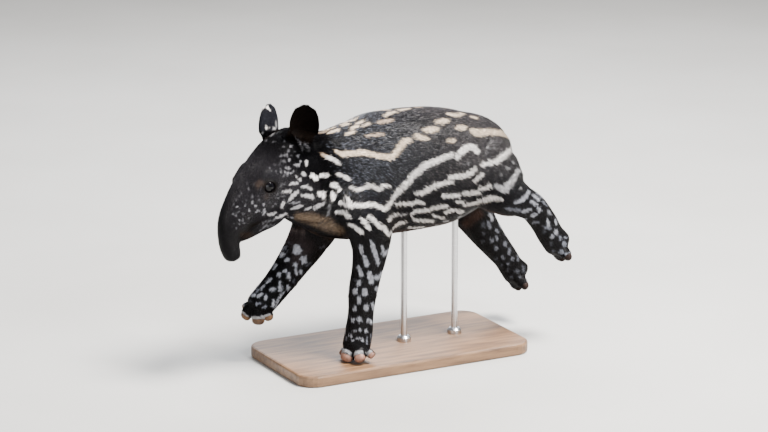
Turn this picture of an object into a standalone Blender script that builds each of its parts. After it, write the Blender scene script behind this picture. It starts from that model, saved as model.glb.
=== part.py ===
"""A Malayan tapir calf in a bound, life size, as a still museum model on a display stand.

Metres. The calf faces -X, its left side is -Y and +Z is up. The origin is the middle of the
stand's underside. The flesh is lofted limb by limb, fused and smoothed as one body, and then
parted by thin cuts. Ears, eyes and hooves are pieces of their own, seated in it.
"""

import math

import bmesh
import bpy
import numpy as np
from mathutils import Matrix, Vector

GAP = 0.0003  # between neighbouring pieces
LEFT, RIGHT = -1, 1  # the sign of Y on each side

# The stand
BASE_LENGTH, BASE_WIDTH, BASE_TOP = 0.400, 0.210, 0.018
BASE_MIDDLE_X = 0.010
BASE_CORNER, BASE_EDGE = 0.030, 0.003
ROD_RADIUS, ROD_IN_BELLY, ROD_TIP_EDGE, ROD_SEAT_BELOW_BELLY = 0.005, 0.012, 0.001, 0.030
ROD_PLACES = {"front": 0.035, "rear": 0.125}
COLLAR_RADIUS, COLLAR_HEIGHT = 0.011, 0.008
BELLY_AT_RODS = {"front": 0.199, "rear": 0.213}

# Fusing the flesh: the grain, the rounds of smoothing, and the share of faces that stay
GRAIN, SMOOTHING, FLESH_SHARE, BODY_SHARE = 0.0032, 9, 0.090, 0.50
FACE_BEFORE_X, FACE_ABOVE_Z, FINE_ROUND_TOES = -0.15, 0.17, 0.026
CAP_TURNS = (35, 62, 80)  # degrees of the rings that round off a loft's end

# The trunk of the body: x, y, middle z, half width, height above and depth below the middle
BODY = (
    (-0.158, 0, 0.312, 0.036, 0.058, 0.072),
    (-0.132, 0, 0.306, 0.043, 0.063, 0.082),
    (-0.108, 0, 0.301, 0.052, 0.071, 0.090),
    (-0.086, 0, 0.296, 0.061, 0.083, 0.094),
    (-0.062, 0, 0.290, 0.069, 0.094, 0.094),
    (-0.032, 0, 0.286, 0.075, 0.102, 0.091),
    (0.004, 0, 0.284, 0.078, 0.105, 0.088),
    (0.045, 0, 0.284, 0.080, 0.105, 0.087),
    (0.090, 0, 0.288, 0.079, 0.099, 0.088),
    (0.130, 0, 0.293, 0.073, 0.087, 0.080),
    (0.160, 0, 0.297, 0.064, 0.072, 0.066),
    (0.182, 0, 0.297, 0.055, 0.059, 0.056),
    (0.200, 0, 0.295, 0.041, 0.042, 0.042),
)

# Each leg: x, distance from the middle plane, z, half width, reach to the front and to the rear
LEGS = {
    "fore_left": (
        (-0.032, 0.040, 0.335, 0.022, 0.034, 0.034),
        (-0.060, 0.050, 0.280, 0.030, 0.042, 0.044),
        (-0.053, 0.056, 0.222, 0.029, 0.038, 0.036),
        (-0.053, 0.056, 0.190, 0.025, 0.030, 0.029),
        (-0.059, 0.056, 0.158, 0.0220, 0.0245, 0.0245),
        (-0.066, 0.056, 0.126, 0.0210, 0.0230, 0.0230),
        (-0.070, 0.056, 0.092, 0.0195, 0.0205, 0.0210),
        (-0.074, 0.056, 0.060, 0.0220, 0.0215, 0.0225),
        (-0.078, 0.056, 0.040, 0.0235, 0.0220, 0.0225),
    ),
    "fore_right": (
        (-0.034, 0.040, 0.335, 0.022, 0.034, 0.034),
        (-0.072, 0.050, 0.272, 0.030, 0.044, 0.044),
        (-0.084, 0.055, 0.224, 0.030, 0.040, 0.047),
        (-0.103, 0.056, 0.184, 0.027, 0.034, 0.034),
        (-0.128, 0.056, 0.152, 0.0250, 0.0270, 0.0270),
        (-0.152, 0.055, 0.125, 0.0225, 0.0240, 0.0240),
        (-0.171, 0.055, 0.106, 0.0225, 0.0230, 0.0230),
        (-0.187, 0.055, 0.091, 0.0240, 0.0225, 0.0225),
    ),
    "hind_left": (
        (0.140, 0.040, 0.310, 0.030, 0.044, 0.052),
        (0.160, 0.050, 0.272, 0.032, 0.048, 0.055),
        (0.184, 0.060, 0.246, 0.028, 0.034, 0.043),
        (0.205, 0.063, 0.235, 0.0235, 0.0250, 0.0290),
        (0.227, 0.063, 0.2225, 0.0215, 0.0225, 0.0240),
        (0.246, 0.062, 0.197, 0.0200, 0.0200, 0.0245),
        (0.260, 0.061, 0.174, 0.0200, 0.0195, 0.0240),
        (0.273, 0.061, 0.157, 0.0215, 0.0205, 0.0260),
    ),
    "hind_right": (
        (0.140, 0.040, 0.310, 0.030, 0.044, 0.052),
        (0.162, 0.052, 0.258, 0.031, 0.048, 0.050),
        (0.180, 0.058, 0.208, 0.027, 0.037, 0.041),
        (0.200, 0.058, 0.173, 0.0250, 0.0290, 0.0315),
        (0.224, 0.056, 0.140, 0.0220, 0.0240, 0.0255),
        (0.2465, 0.055, 0.112, 0.0195, 0.0205, 0.0220),
        (0.257, 0.055, 0.096, 0.0195, 0.0200, 0.0215),
        (0.266, 0.055, 0.082, 0.0215, 0.0200, 0.0265),
    ),
}

# Toes: turn outwards in degrees, length, half width, and how far the root lies to the rear
FORE_TOES = (
    (-28, 0.0195, 0.0074, 0.003),
    (-5, 0.0250, 0.0106, -0.003),
    (28, 0.0238, 0.0090, -0.003),
    (62, 0.0155, 0.0056, 0.006),
)
HIND_TOES = (
    (-36, 0.0228, 0.0083, -0.002),
    (0, 0.0256, 0.0094, -0.004),
    (36, 0.0228, 0.0083, -0.002),
)
TOE_SPREAD = 0.0205
# Along a toe: share of its length, and breadth, front and rear as shares of its half width
TOE_ROWS = ((0.42, 1.16, 1.20, 1.30), (0.78, 1.20, 1.22, 1.24))
TOE_ROOT, TOE_ROOT_BEHIND = (0.95, 1.15, 1.30), 0.006
# Which way the toes of each foot point: forwards, up, and the turn of the foot to the left
TOE_WAY = {
    "fore_left": (-0.70, -0.71, 24),
    "fore_right": (-0.34, -0.94, 30),
    "hind_left": (0.55, -0.83, 0),
    "hind_right": (0.38, -0.92, 0),
}
HOOF_SHARE, HOOF_THICKNESS = 0.30, 0.96
HOOF_BEYOND_TOE, HOOF_SOLE = 0.40, 0.80
# Along a hoof: share of its length, and breadth and thickness as shares of its greatest
HOOF_ROWS = ((0.00, 0.84, 0.88), (0.35, 0.94, 0.94), (0.75, 0.93, 0.78), (1.00, 0.80, 0.52))

# The head, along its own axes from a point midway between the eyes
HEAD_PLACE = (-0.2195, 0.0, 0.303)
HEAD_PITCH, HEAD_YAW, HEAD_ROLL = 49.0, 11.0, 2.0
SKULL = (
    (-0.086, 0, -0.016, 0.033, 0.0240, 0.034),
    (-0.062, 0, -0.014, 0.040, 0.0335, 0.052),
    (-0.032, 0, -0.012, 0.042, 0.0365, 0.062),
    (0.000, 0, -0.012, 0.040, 0.0380, 0.056),
    (0.030, 0, -0.011, 0.033, 0.0385, 0.042),
    (0.056, 0, -0.010, 0.0275, 0.0340, 0.028),
    (0.078, 0, -0.012, 0.0225, 0.029, 0.018),
)
SNOUT = (
    (0.050, 0, -0.003, 0.0250, 0.0260, 0.0200),
    (0.076, 0, -0.007, 0.0215, 0.0225, 0.0170),
    (0.095, 0, -0.018, 0.0172, 0.0182, 0.0152),
    (0.106, 0, -0.031, 0.0152, 0.0157, 0.0142),
    (0.1115, 0, -0.0403, 0.0136, 0.0122, 0.0122),
)
JAW = (
    (-0.030, 0, -0.045, 0.033, 0.022, 0.028),
    (0.000, 0, -0.046, 0.031, 0.020, 0.029),
    (0.025, 0, -0.044, 0.027, 0.018, 0.027),
    (0.048, 0, -0.038, 0.021, 0.014, 0.019),
    (0.068, 0, -0.032, 0.015, 0.011, 0.014),
    (0.080, 0, -0.028, 0.011, 0.009, 0.010),
)
CHEEK = ((-0.030, 0.022, -0.036, 0.017, 0.026, 0.026), (0.012, 0.021, -0.034, 0.014, 0.022, 0.022))
BROW = ((-0.014, 0.026, 0.010, 0.010, 0.010, 0.012), (0.012, 0.024, 0.012, 0.009, 0.009, 0.012))
MOUTH_LINE = (
    (0.098, -0.050),
    (0.0905, -0.033),
    (0.0845, -0.0225),
    (0.0740, -0.0205),
    (0.0610, -0.0270),
    (0.0490, -0.0345),
)
MOUTH_GAP = 0.0010
# The cut that parts snout and head: forwards and upwards of its lower and upper end
SNOUT_CUT = ((0.0650, -0.0250), (0.0700, 0.0500))
HEAD_HALF = 0.050  # more than half the head's breadth, for cuts that pass through it

NOSTRIL_PLACE, NOSTRIL_RADII = (0.1150, -0.0450, 0.0056), (0.0040, 0.0027, 0.0043)

EYE_PLACE = (-0.0019, -0.0033, 0.0292)  # forwards, upwards and sideways in the head
EYE_RADIUS, LID = 0.0104, 0.0024
EYE_FACES = (0.28, 0.10, 0.95)
EYE_OPENING = (0.0088, 0.0070)
# Along the opening of the lids: distance out in eye radii, and its breadth and height
LID_ROWS = ((0.55, 0.85, 0.85), (1.05, 1.00, 1.00), (1.70, 1.25, 1.30))

# Each ear: the root forwards, upwards and sideways in the head, the way the cup faces, level,
# and how far it leans outwards for each unit up
EARS = {
    "left": ((-0.089, -0.004, 0.042), (-0.47, -0.88), 0.06),
    "right": ((-0.0747, -0.003, 0.0369), (-0.45, 0.89), 0.16),
}
# An ear's height over its root, how deep it goes below that, and its half widths from end to end
EAR_LENGTH, EAR_ROOT_DEPTH = 0.051, 0.006
EAR_HALF_WIDTHS = (0.0100, 0.0124, 0.0199, 0.0222, 0.0226, 0.0222, 0.0210, 0.0188, 0.0150, 0.0045)
EAR_DEPTH_SHARES, EAR_DEPTHS = (0.0, 0.25, 0.6, 1.0), (0.0090, 0.0125, 0.0095, 0.0015)
EAR_BENT_BACK = 0.005
# Its wall, the share of it at the rim, and how far the solid root fills the cup and bulges
EAR_WALL, EAR_RIM, EAR_MIDDLE = 0.0021, 0.70, 0.35
EAR_SOLID, EAR_HOLLOWED, EAR_BULGE = 0.10, 0.32, 0.30
# The stalk under each ear: its foot forwards, upwards and inwards of the root, its end below
# the root, and its radii
EAR_STALK, EAR_STALK_END, EAR_STALK_RADII = (0.012, -0.026, 0.016), 0.003, (0.0165, 0.0118)

TAIL = (
    (0.190, 0, 0.322, 0.0110, 0.0110, 0.0110),
    (0.207, 0, 0.315, 0.0088, 0.0088, 0.0088),
    (0.2195, 0, 0.301, 0.0068, 0.0068, 0.0068),
    (0.2260, 0, 0.286, 0.0052, 0.0052, 0.0052),
)


def catmull_rom(rows, pieces):
    """A smooth run through the rows of numbers, with so many pieces between each two."""
    rows = np.asarray(rows, float)
    ends = np.vstack([2 * rows[0] - rows[1], rows, 2 * rows[-1] - rows[-2]])
    run = []
    for a, b, c, d in zip(ends, ends[1:], ends[2:], ends[3:]):
        for t in np.arange(pieces) / pieces:
            bend = 2 * a - 5 * b + 4 * c - d
            run.append(0.5 * (2 * b + (c - a) * t + bend * t**2 + (3 * b - a - 3 * c + d) * t**3))
    run.append(rows[-1])
    return np.array(run)


def unit(vector):
    vector = np.asarray(vector, float)
    return vector / np.linalg.norm(vector)


def ring(centre, along, side, sizes, count, power):
    """Points round an egg-shaped section: half width, reach to the front and reach to the rear."""
    side = unit(side - along * np.dot(side, along))
    front = np.cross(along, side)
    half, ahead, behind = sizes
    turn = np.arange(count) * 2 * math.pi / count
    wide = np.sign(np.cos(turn)) * np.abs(np.cos(turn)) ** (2 / power) * half
    deep = np.sign(np.sin(turn)) * np.abs(np.sin(turn)) ** (2 / power)
    deep = deep * np.where(deep > 0, ahead, behind)
    return centre + wide[:, None] * side + deep[:, None] * front


def loft(rows, side, count=20, pieces=4, power=2.0, round_ends=(0.7, 0.7), caps=CAP_TURNS):
    """A closed tube through rows of x, y, z, half width, reach to the front and to the rear."""
    run = catmull_rom(rows, pieces)
    path, sizes = run[:, :3], run[:, 3:]
    ways = np.gradient(path, axis=0)
    rings = [ring(p, unit(w), side, s, count, power) for p, w, s in zip(path, ways, sizes)]
    for last, sign, rise in ((0, -1, round_ends[0]), (-1, 1, round_ends[1])):
        way, reach = unit(ways[last]), rise * sizes[last].min()
        cap = []
        for turn in caps:
            swing = math.radians(turn)
            centre = path[last] + sign * way * reach * math.sin(swing)
            cap.append(ring(centre, way, side, sizes[last] * math.cos(swing), count, power))
        rings = cap[::-1] + rings if sign < 0 else rings + cap
    points = np.vstack(rings)
    faces = []
    for k in range(len(rings) - 1):
        for i in range(count):
            j = (i + 1) % count
            faces.append((k * count + i, (k + 1) * count + i, (k + 1) * count + j, k * count + j))
    top = (len(rings) - 1) * count
    faces.append(tuple(range(count)))
    faces.append(tuple(range(top + count - 1, top - 1, -1)))
    return points, faces


def mesh_object(name, shapes):
    """One object from several closed shapes, with every face turned outwards."""
    made = bmesh.new()
    for points, faces in shapes:
        corners = [made.verts.new(p) for p in points]
        for face in faces:
            made.faces.new([corners[i] for i in face])
    bmesh.ops.recalc_face_normals(made, faces=made.faces)
    mesh = bpy.data.meshes.new(name)
    made.to_mesh(mesh)
    made.free()
    obj = bpy.data.objects.new(name, mesh)
    bpy.context.scene.collection.objects.link(obj)
    return obj


def apply_modifiers(obj):
    """Makes the evaluated shape the object's own mesh."""
    bpy.context.view_layer.update()
    graph = bpy.context.evaluated_depsgraph_get()
    mesh = bpy.data.meshes.new_from_object(obj.evaluated_get(graph))
    obj.modifiers.clear()
    obj.data = mesh
    return obj


def boolean(obj, cutter, operation, solver="EXACT"):
    """Cuts or joins at once, and removes the cutter."""
    modifier = obj.modifiers.new(operation.lower(), "BOOLEAN")
    modifier.operation = operation
    modifier.solver = solver
    modifier.object = cutter
    apply_modifiers(obj)
    bpy.data.objects.remove(cutter)
    return obj


def linked_groups(made):
    """The faces of each connected part, in the order of its first face."""
    groups, seen = [], set()
    for first in made.faces:
        if first in seen:
            continue
        seen.add(first)
        group, front = [], [first]
        while front:
            face = front.pop()
            group.append(face)
            for edge in face.edges:
                for other in edge.link_faces:
                    if other not in seen:
                        seen.add(other)
                        front.append(other)
        groups.append(group)
    return groups


def box_middle(faces):
    """The middle of the box round the faces."""
    places = np.array([vertex.co for face in faces for vertex in face.verts])
    return Vector((places.min(axis=0) + places.max(axis=0)) / 2)


def keep_largest(obj):
    """Drops loose scraps, so that the object is one closed body."""
    made = bmesh.new()
    made.from_mesh(obj.data)
    groups = linked_groups(made)
    groups.sort(key=lambda g: sum(f.calc_area() for f in g))
    for group in groups[:-1]:
        bmesh.ops.delete(made, geom=group, context="FACES")
    bmesh.ops.triangulate(made, faces=made.faces)
    loose = [v for v in made.verts if not v.link_faces]
    bmesh.ops.delete(made, geom=loose, context="VERTS")
    made.to_mesh(obj.data)
    made.free()
    return obj


# The frames of head, ears, eyes and feet


def head_frame():
    """Columns: forwards, upwards and leftwards in the head, and its place."""
    pitch = math.radians(HEAD_PITCH)
    forward = np.array((-math.cos(pitch), 0.0, -math.sin(pitch)))
    left = np.array((0.0, -1.0, 0.0))
    up = np.cross(forward, left)
    turn = Matrix.Rotation(math.radians(HEAD_YAW), 3, "Z")
    turn = turn @ Matrix.Rotation(math.radians(HEAD_ROLL), 3, Vector(forward))
    turn = np.array(turn)
    return turn @ forward, turn @ up, turn @ left, np.array(HEAD_PLACE)


def in_head(u, v, w):
    """The place that lies u forwards, v upwards and w leftwards in the head."""
    forward, up, left, place = head_frame()
    return place + u * forward + v * up + w * left


def head_rows(rows, side=1):
    """Rows written as forwards, sideways, upwards and sizes, as rows in the model."""
    return [(*in_head(u, v, w * side), *sizes) for u, w, v, *sizes in rows]


def side_of(name):
    return LEFT if name.endswith("left") else RIGHT


def leg_rows(name):
    return [(x, side_of(name) * y, z, *sizes) for x, y, z, *sizes in LEGS[name]]


def toes_of(name):
    """Each toe's root, way, breadth, length and half width."""
    side = side_of(name)
    place = np.array(leg_rows(name)[-1][:3])
    ahead, rise, turn = TOE_WAY[name]
    turned = np.array(Matrix.Rotation(math.radians(turn), 3, "Z"))
    along = turned @ unit((ahead, 0, rise))
    out = turned @ np.array((0.0, side, 0.0))
    front = np.cross(along, -out * side)
    toes = []
    for spread, length, half, back in FORE_TOES if name.startswith("fore") else HIND_TOES:
        swing = math.radians(spread)
        way = along * math.cos(swing) + out * math.sin(swing)
        across = out * math.cos(swing) - along * math.sin(swing)
        root = place + out * math.sin(swing) * TOE_SPREAD - front * back
        toes.append((root, way, across, length, half))
    return toes


def hoof(name, toe, grow=0.0):
    """The hoof that caps a toe, or the seat for it when it is grown by the gap."""
    root, way, across, length, half = toe
    start = length * (1 - HOOF_SHARE) - grow
    wide, thick = half + grow, half * HOOF_THICKNESS + grow
    reach = length * HOOF_SHARE + half * HOOF_BEYOND_TOE + 2 * grow
    rows = []
    for share, w, t in HOOF_ROWS:
        place = root + way * (start + reach * share)
        rows.append((*place, wide * w, thick * t, thick * t * HOOF_SOLE))
    return mesh_object(name, [loft(rows, across, 10, 1, 2.5, (0.02, 0.35), (60,))])


def flesh_shapes():
    """Every loft of the flesh, before it is fused."""
    level = np.array((0.0, -1.0, 0.0))
    body = [(x, y, z, *sizes) for x, y, z, *sizes in BODY[::-1]]
    left = head_frame()[2]
    shapes = [
        loft(body, level, 32, 5, 2.15, (0.35, 0.7)),
        loft(head_rows(SKULL), left, 28, 5, 2.1),
        loft(head_rows(SNOUT), left, 24, 6, 2.1, (0.7, 0.3)),
        loft(head_rows(JAW), left, 20, 5, 2.6),
    ]
    for side in (1, -1):
        shapes.append(loft(head_rows(CHEEK, side), left, 16, 5))
        shapes.append(loft(head_rows(BROW, side), left, 12, 4))
        shapes.append(ball_shape(eye_place(side), [EYE_RADIUS + LID] * 3))
    for name in EARS:
        root, up, across = ear_frame(name)[0], ear_frame(name)[1], ear_frame(name)[3]
        (u, v, w), (ahead, rise, inwards) = EARS[name][0], EAR_STALK
        side = 1 if name == "left" else -1
        foot = in_head(u + ahead, v + rise, side * (w - inwards))
        stalk = [(*foot, *[EAR_STALK_RADII[0]] * 3)]
        stalk.append((*(root - up * EAR_STALK_END), *[EAR_STALK_RADII[1]] * 3))
        shapes.append(loft(stalk, across, 16, 4, 2.0, (0.7, 0.3)))
    for name in LEGS:
        shapes.append(loft(leg_rows(name), level, 20, 5))
        for root, way, across, length, half in toes_of(name):
            rows = [(*(root - way * TOE_ROOT_BEHIND), *[half * size for size in TOE_ROOT])]
            for share, *sizes in TOE_ROWS:
                rows.append((*(root + way * length * share), *[half * size for size in sizes]))
            shapes.append(loft(rows, across, 14, 4))
    return shapes


def ball_shape(centre, radii, turns=16, bands=10):
    """Points and faces of an ellipsoid along the model's axes."""
    points, faces = [], []
    for j in range(1, bands):
        lift = math.pi * j / bands
        for i in range(turns):
            swing = 2 * math.pi * i / turns
            way = (math.sin(lift) * math.cos(swing), math.sin(lift) * math.sin(swing), math.cos(lift))
            points.append([c + r * w for c, r, w in zip(centre, radii, way)])
    for j in range(bands - 2):
        for i in range(turns):
            k = (i + 1) % turns
            faces.append((j * turns + i, (j + 1) * turns + i, (j + 1) * turns + k, j * turns + k))
    low = len(points)
    points.append([centre[0], centre[1], centre[2] + radii[2]])
    points.append([centre[0], centre[1], centre[2] - radii[2]])
    for i in range(turns):
        k = (i + 1) % turns
        faces.append((low, i, k))
        faces.append((low + 1, (bands - 2) * turns + k, (bands - 2) * turns + i))
    return np.array(points), faces


def fused_flesh():
    """The whole flesh as one smooth closed body, finest on the face and feet."""
    flesh = mesh_object("flesh", flesh_shapes())
    remesh = flesh.modifiers.new("fuse", "REMESH")
    remesh.mode = "VOXEL"
    remesh.voxel_size = GRAIN
    smooth = flesh.modifiers.new("blend", "SMOOTH")
    smooth.factor = 0.5
    smooth.iterations = SMOOTHING
    apply_modifiers(flesh)
    fewer = flesh.modifiers.new("fewer", "DECIMATE")
    fewer.ratio = FLESH_SHARE
    apply_modifiers(flesh)
    coarse = flesh.vertex_groups.new(name="coarse")
    feet = [toe[0] for name in LEGS for toe in toes_of(name)]
    for vertex in flesh.data.vertices:
        face = vertex.co.x < FACE_BEFORE_X and vertex.co.z > FACE_ABOVE_Z
        near_toe = any((vertex.co - Vector(root)).length < FINE_ROUND_TOES for root in feet)
        coarse.add([vertex.index], 0.0 if face or near_toe else 1.0, "REPLACE")
    fewest = flesh.modifiers.new("fewest", "DECIMATE")
    fewest.ratio = BODY_SHARE
    fewest.vertex_group = "coarse"
    return apply_modifiers(flesh)


# Cutters that part the flesh


def block(name, place, way, side, reach, half_side, half_front):
    """A box that starts at place and runs along way, its other faces clear of what it cuts."""
    way = unit(way)
    side = unit(np.asarray(side, float) - way * np.dot(side, way))
    front = np.cross(way, side)
    place = np.asarray(place, float)
    points = []
    for step in (0.0, reach):
        for a, b in ((-1, -1), (1, -1), (1, 1), (-1, 1)):
            points.append(place + way * step + side * a * half_side + front * b * half_front)
    faces = [(0, 1, 2, 3), (7, 6, 5, 4)]
    faces += [(i, (i + 1) % 4, (i + 1) % 4 + 4, i + 4) for i in range(4)]
    return mesh_object(name, [(points, faces)])


def prism(name, outline, half_width):
    """A closed outline in the head's middle plane, made as thick as the head is wide."""
    points = [in_head(u, v, w) for w in (-half_width, half_width) for u, v in outline]
    count = len(outline)
    faces = [tuple(range(count)), tuple(range(2 * count - 1, count - 1, -1))]
    faces += [(i, (i + 1) % count, (i + 1) % count + count, i + count) for i in range(count)]
    return mesh_object(name, [(points, faces)])


# Ears and eyes


def ear_frame(name):
    """The ear's root, its way up, the way its cup faces and its breadth."""
    (u, v, w), (ahead, aside), lean = EARS[name]
    side = 1 if name == "left" else -1
    root = in_head(u, v, side * w)
    up = unit((0.04, -side * lean, 1.0))
    faces = np.array((ahead, aside, 0.0))
    faces = unit(faces - up * np.dot(faces, up))
    return root, up, faces, np.cross(up, faces)


def ear(name, node, grow=0.0):
    """A thin cup, solid at its root, or the seat for it when it is grown by the gap."""
    root, up, faces, across = ear_frame(name)
    lengths, turns = 11, 9
    height = EAR_LENGTH + EAR_ROOT_DEPTH
    widths = catmull_rom([(w,) for w in EAR_HALF_WIDTHS], 8)[:, 0] + grow
    layers = [[], []]
    for i in range(lengths):
        share = i / (lengths - 1)
        rise = height * share - EAR_ROOT_DEPTH - grow * (1 - 2 * share)
        half = float(np.interp(share, np.linspace(0, 1, len(widths)), widths))
        cup = float(np.interp(share, EAR_DEPTH_SHARES, EAR_DEPTHS))
        hollow = min(1.0, max(0.0, (share - EAR_SOLID) / (EAR_HOLLOWED - EAR_SOLID)))
        hollow = hollow * hollow * (3 - 2 * hollow)
        for j in range(turns):
            swing = math.pi * (j / (turns - 1) - 0.5)
            arch = math.cos(swing)
            place = root + up * rise + across * half * math.sin(swing)
            back = -cup * arch - EAR_WALL * EAR_MIDDLE - grow
            front = back + EAR_WALL * (EAR_RIM + (1 - EAR_RIM) * arch) + 2 * grow
            filled = cup * EAR_BULGE * arch + EAR_WALL * EAR_MIDDLE + grow
            front = filled + (front - filled) * hollow
            bent = EAR_BENT_BACK * share * share
            layers[0].append(place + faces * (back - bent))
            layers[1].append(place + faces * (front - bent))
    shift = len(layers[0])

    def at(i, j, layer):
        return layer * shift + i * turns + j

    quads = []
    for i in range(lengths - 1):
        for j in range(turns - 1):
            quads.append((at(i, j, 0), at(i, j + 1, 0), at(i + 1, j + 1, 0), at(i + 1, j, 0)))
            quads.append((at(i, j, 1), at(i + 1, j, 1), at(i + 1, j + 1, 1), at(i, j + 1, 1)))
        for j in (0, turns - 1):
            quads.append((at(i, j, 0), at(i + 1, j, 0), at(i + 1, j, 1), at(i, j, 1)))
    for j in range(turns - 1):
        for i in (0, lengths - 1):
            quads.append((at(i, j, 0), at(i, j, 1), at(i, j + 1, 1), at(i, j + 1, 0)))
    return mesh_object(node, [(layers[0] + layers[1], quads)])


def eye_place(side):
    u, v, w = EYE_PLACE
    return in_head(u, v, side * w)


def lid_opening(side):
    """The cutter for the eye socket with its almond opening."""
    forward, up, left = head_frame()[:3]
    ahead, rise, aside = EYE_FACES
    faces = unit(forward * ahead + up * rise + left * side * aside)
    centre = eye_place(side)
    socket = mesh_object("socket", [ball_shape(centre, [EYE_RADIUS + GAP] * 3, 16, 10)])
    wide, high = EYE_OPENING
    rows = []
    for out, w, h in LID_ROWS:
        rows.append((*(centre + faces * EYE_RADIUS * out), wide * w, high * h, high * h))
    almond = mesh_object("almond", [loft(rows, forward, 18, 2, 1.75, (0.02, 0.02), (60,))])
    return boolean(socket, almond, "UNION")


# Materials


def material(name, colour, roughness, metallic=0.0):
    made = bpy.data.materials.new(name)
    made.use_nodes = True
    shader = made.node_tree.nodes["Principled BSDF"]
    shader.inputs["Base Color"].default_value = (*colour, 1.0)
    shader.inputs["Roughness"].default_value = roughness
    shader.inputs["Metallic"].default_value = metallic
    return made


def finish(obj, surface, smooth_angle=40):
    obj.data.materials.clear()
    obj.data.materials.append(surface)
    obj.data.shade_smooth()
    obj.data.set_sharp_from_angle(angle=math.radians(smooth_angle))
    return obj


# Parting the flesh, and the stand

# Thin cuts: place, way across the cut, and its half breadth and half height
CUTS = (
    ((-0.150, 0, 0.305), (-0.983, 0, 0.184), 0.090, 0.115),
    ((-0.112, 0, 0.300), (-0.964, 0, 0.265), 0.110, 0.125),
    ((-0.0545, -0.056, 0.175), (-0.16, 0, -0.987), 0.045, 0.050),
    ((-0.109, 0.056, 0.174), (-0.62, 0, -0.78), 0.045, 0.050),
    ((0.213, -0.063, 0.2315), (0.88, 0, -0.47), 0.042, 0.050),
    ((0.204, 0.058, 0.166), (0.60, 0, -0.80), 0.042, 0.048),
    ((-0.0735, -0.056, 0.062), (-0.10, 0, -0.995), 0.034, 0.034),
    ((-0.171, 0.055, 0.106), (-0.80, 0, -0.60), 0.034, 0.034),
    ((0.260, -0.061, 0.174), (0.55, 0, -0.83), 0.034, 0.034),
    ((0.257, 0.055, 0.096), (0.50, 0, -0.86), 0.034, 0.034),
)

# The middle of each piece of flesh
MIDDLES = {
    "torso": (0.046, 0.0, 0.270),
    "neck": (-0.128, 0.0, 0.294),
    "head": (-0.209, 0.009, 0.294),
    "snout": (-0.263, -0.007, 0.226),
    "fore_left_leg": (-0.062, -0.056, 0.120),
    "fore_left_foot": (-0.076, -0.058, 0.043),
    "fore_right_leg": (-0.135, 0.056, 0.141),
    "fore_right_foot": (-0.183, 0.055, 0.098),
    "hind_left_leg": (0.241, -0.063, 0.209),
    "hind_left_foot": (0.268, -0.061, 0.162),
    "hind_right_leg": (0.229, 0.058, 0.135),
    "hind_right_foot": (0.263, 0.055, 0.083),
}


def snout_slit():
    """The cut between head and snout, from the bridge of the nose down to the mouth."""
    (lower, upper), half = SNOUT_CUT, GAP / 2
    outline = [(upper[0] - half, upper[1]), (upper[0] + half, upper[1])]
    outline += [(lower[0] + half, lower[1]), (lower[0] - half, lower[1])]
    return prism("snout_slit", outline, HEAD_HALF)


def mouth_slit():
    """The open line between the lips, tapering to its corner."""
    line = np.array(MOUTH_LINE)
    ways = np.gradient(line, axis=0)
    above, below = [], []
    for k, (point, way) in enumerate(zip(line, ways)):
        across = np.array((-way[1], way[0])) / np.linalg.norm(way)
        half = MOUTH_GAP / 2 if k < len(line) - 1 else MOUTH_GAP / 5
        above.append(point + across * half)
        below.append(point - across * half)
    return prism("mouth_slit", [tuple(p) for p in above + below[::-1]], HEAD_HALF)


def parted(flesh):
    """Cuts the flesh apart and returns its pieces by name."""
    for place, way, half_side, half_front in CUTS:
        start = np.asarray(place) - unit(way) * GAP / 2
        cutter = block("cut", start, way, (0, 1, 0), GAP, half_side, half_front)
        boolean(flesh, cutter, "DIFFERENCE", "MANIFOLD")
    for cutter in (mouth_slit(), snout_slit()):
        boolean(flesh, cutter, "DIFFERENCE", "MANIFOLD")
    made = bmesh.new()
    made.from_mesh(flesh.data)
    groups = linked_groups(made)
    pieces = {}
    for name, middle in MIDDLES.items():
        nearest = min(groups, key=lambda group: (box_middle(group) - Vector(middle)).length)
        corners, points, faces = {}, [], []
        for face in nearest:
            for vertex in face.verts:
                if vertex.index not in corners:
                    corners[vertex.index] = len(points)
                    points.append(vertex.co[:])
            faces.append(tuple(corners[v.index] for v in face.verts))
        pieces[name] = mesh_object(name, [(points, faces)])
    made.free()
    bpy.data.objects.remove(flesh)
    return pieces


def level_sole(obj):
    """Cuts off what would reach into the stand's base, for the foot that stands on it."""
    x, y, z = LEGS["fore_left"][-1][:3]
    below = (x, -y, BASE_TOP + GAP)
    cutter = block("floor", below, (0, 0, -1), (0, 1, 0), z, z, z)
    return boolean(obj, cutter, "DIFFERENCE")


def lathe(name, profile, place, count=20):
    """A round piece from rows of radius and height."""
    rings, faces = [], []
    for radius, height in profile:
        for i in range(count):
            swing = 2 * math.pi * i / count
            x, y = place[0] + radius * math.cos(swing), place[1] + radius * math.sin(swing)
            rings.append((x, y, height))
    for k in range(len(profile) - 1):
        for i in range(count):
            j = (i + 1) % count
            faces.append((k * count + i, k * count + j, (k + 1) * count + j, (k + 1) * count + i))
    top = (len(profile) - 1) * count
    faces.append(tuple(range(count - 1, -1, -1)))
    faces.append(tuple(range(top, top + count)))
    return mesh_object(name, [(rings, faces)])


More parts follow.
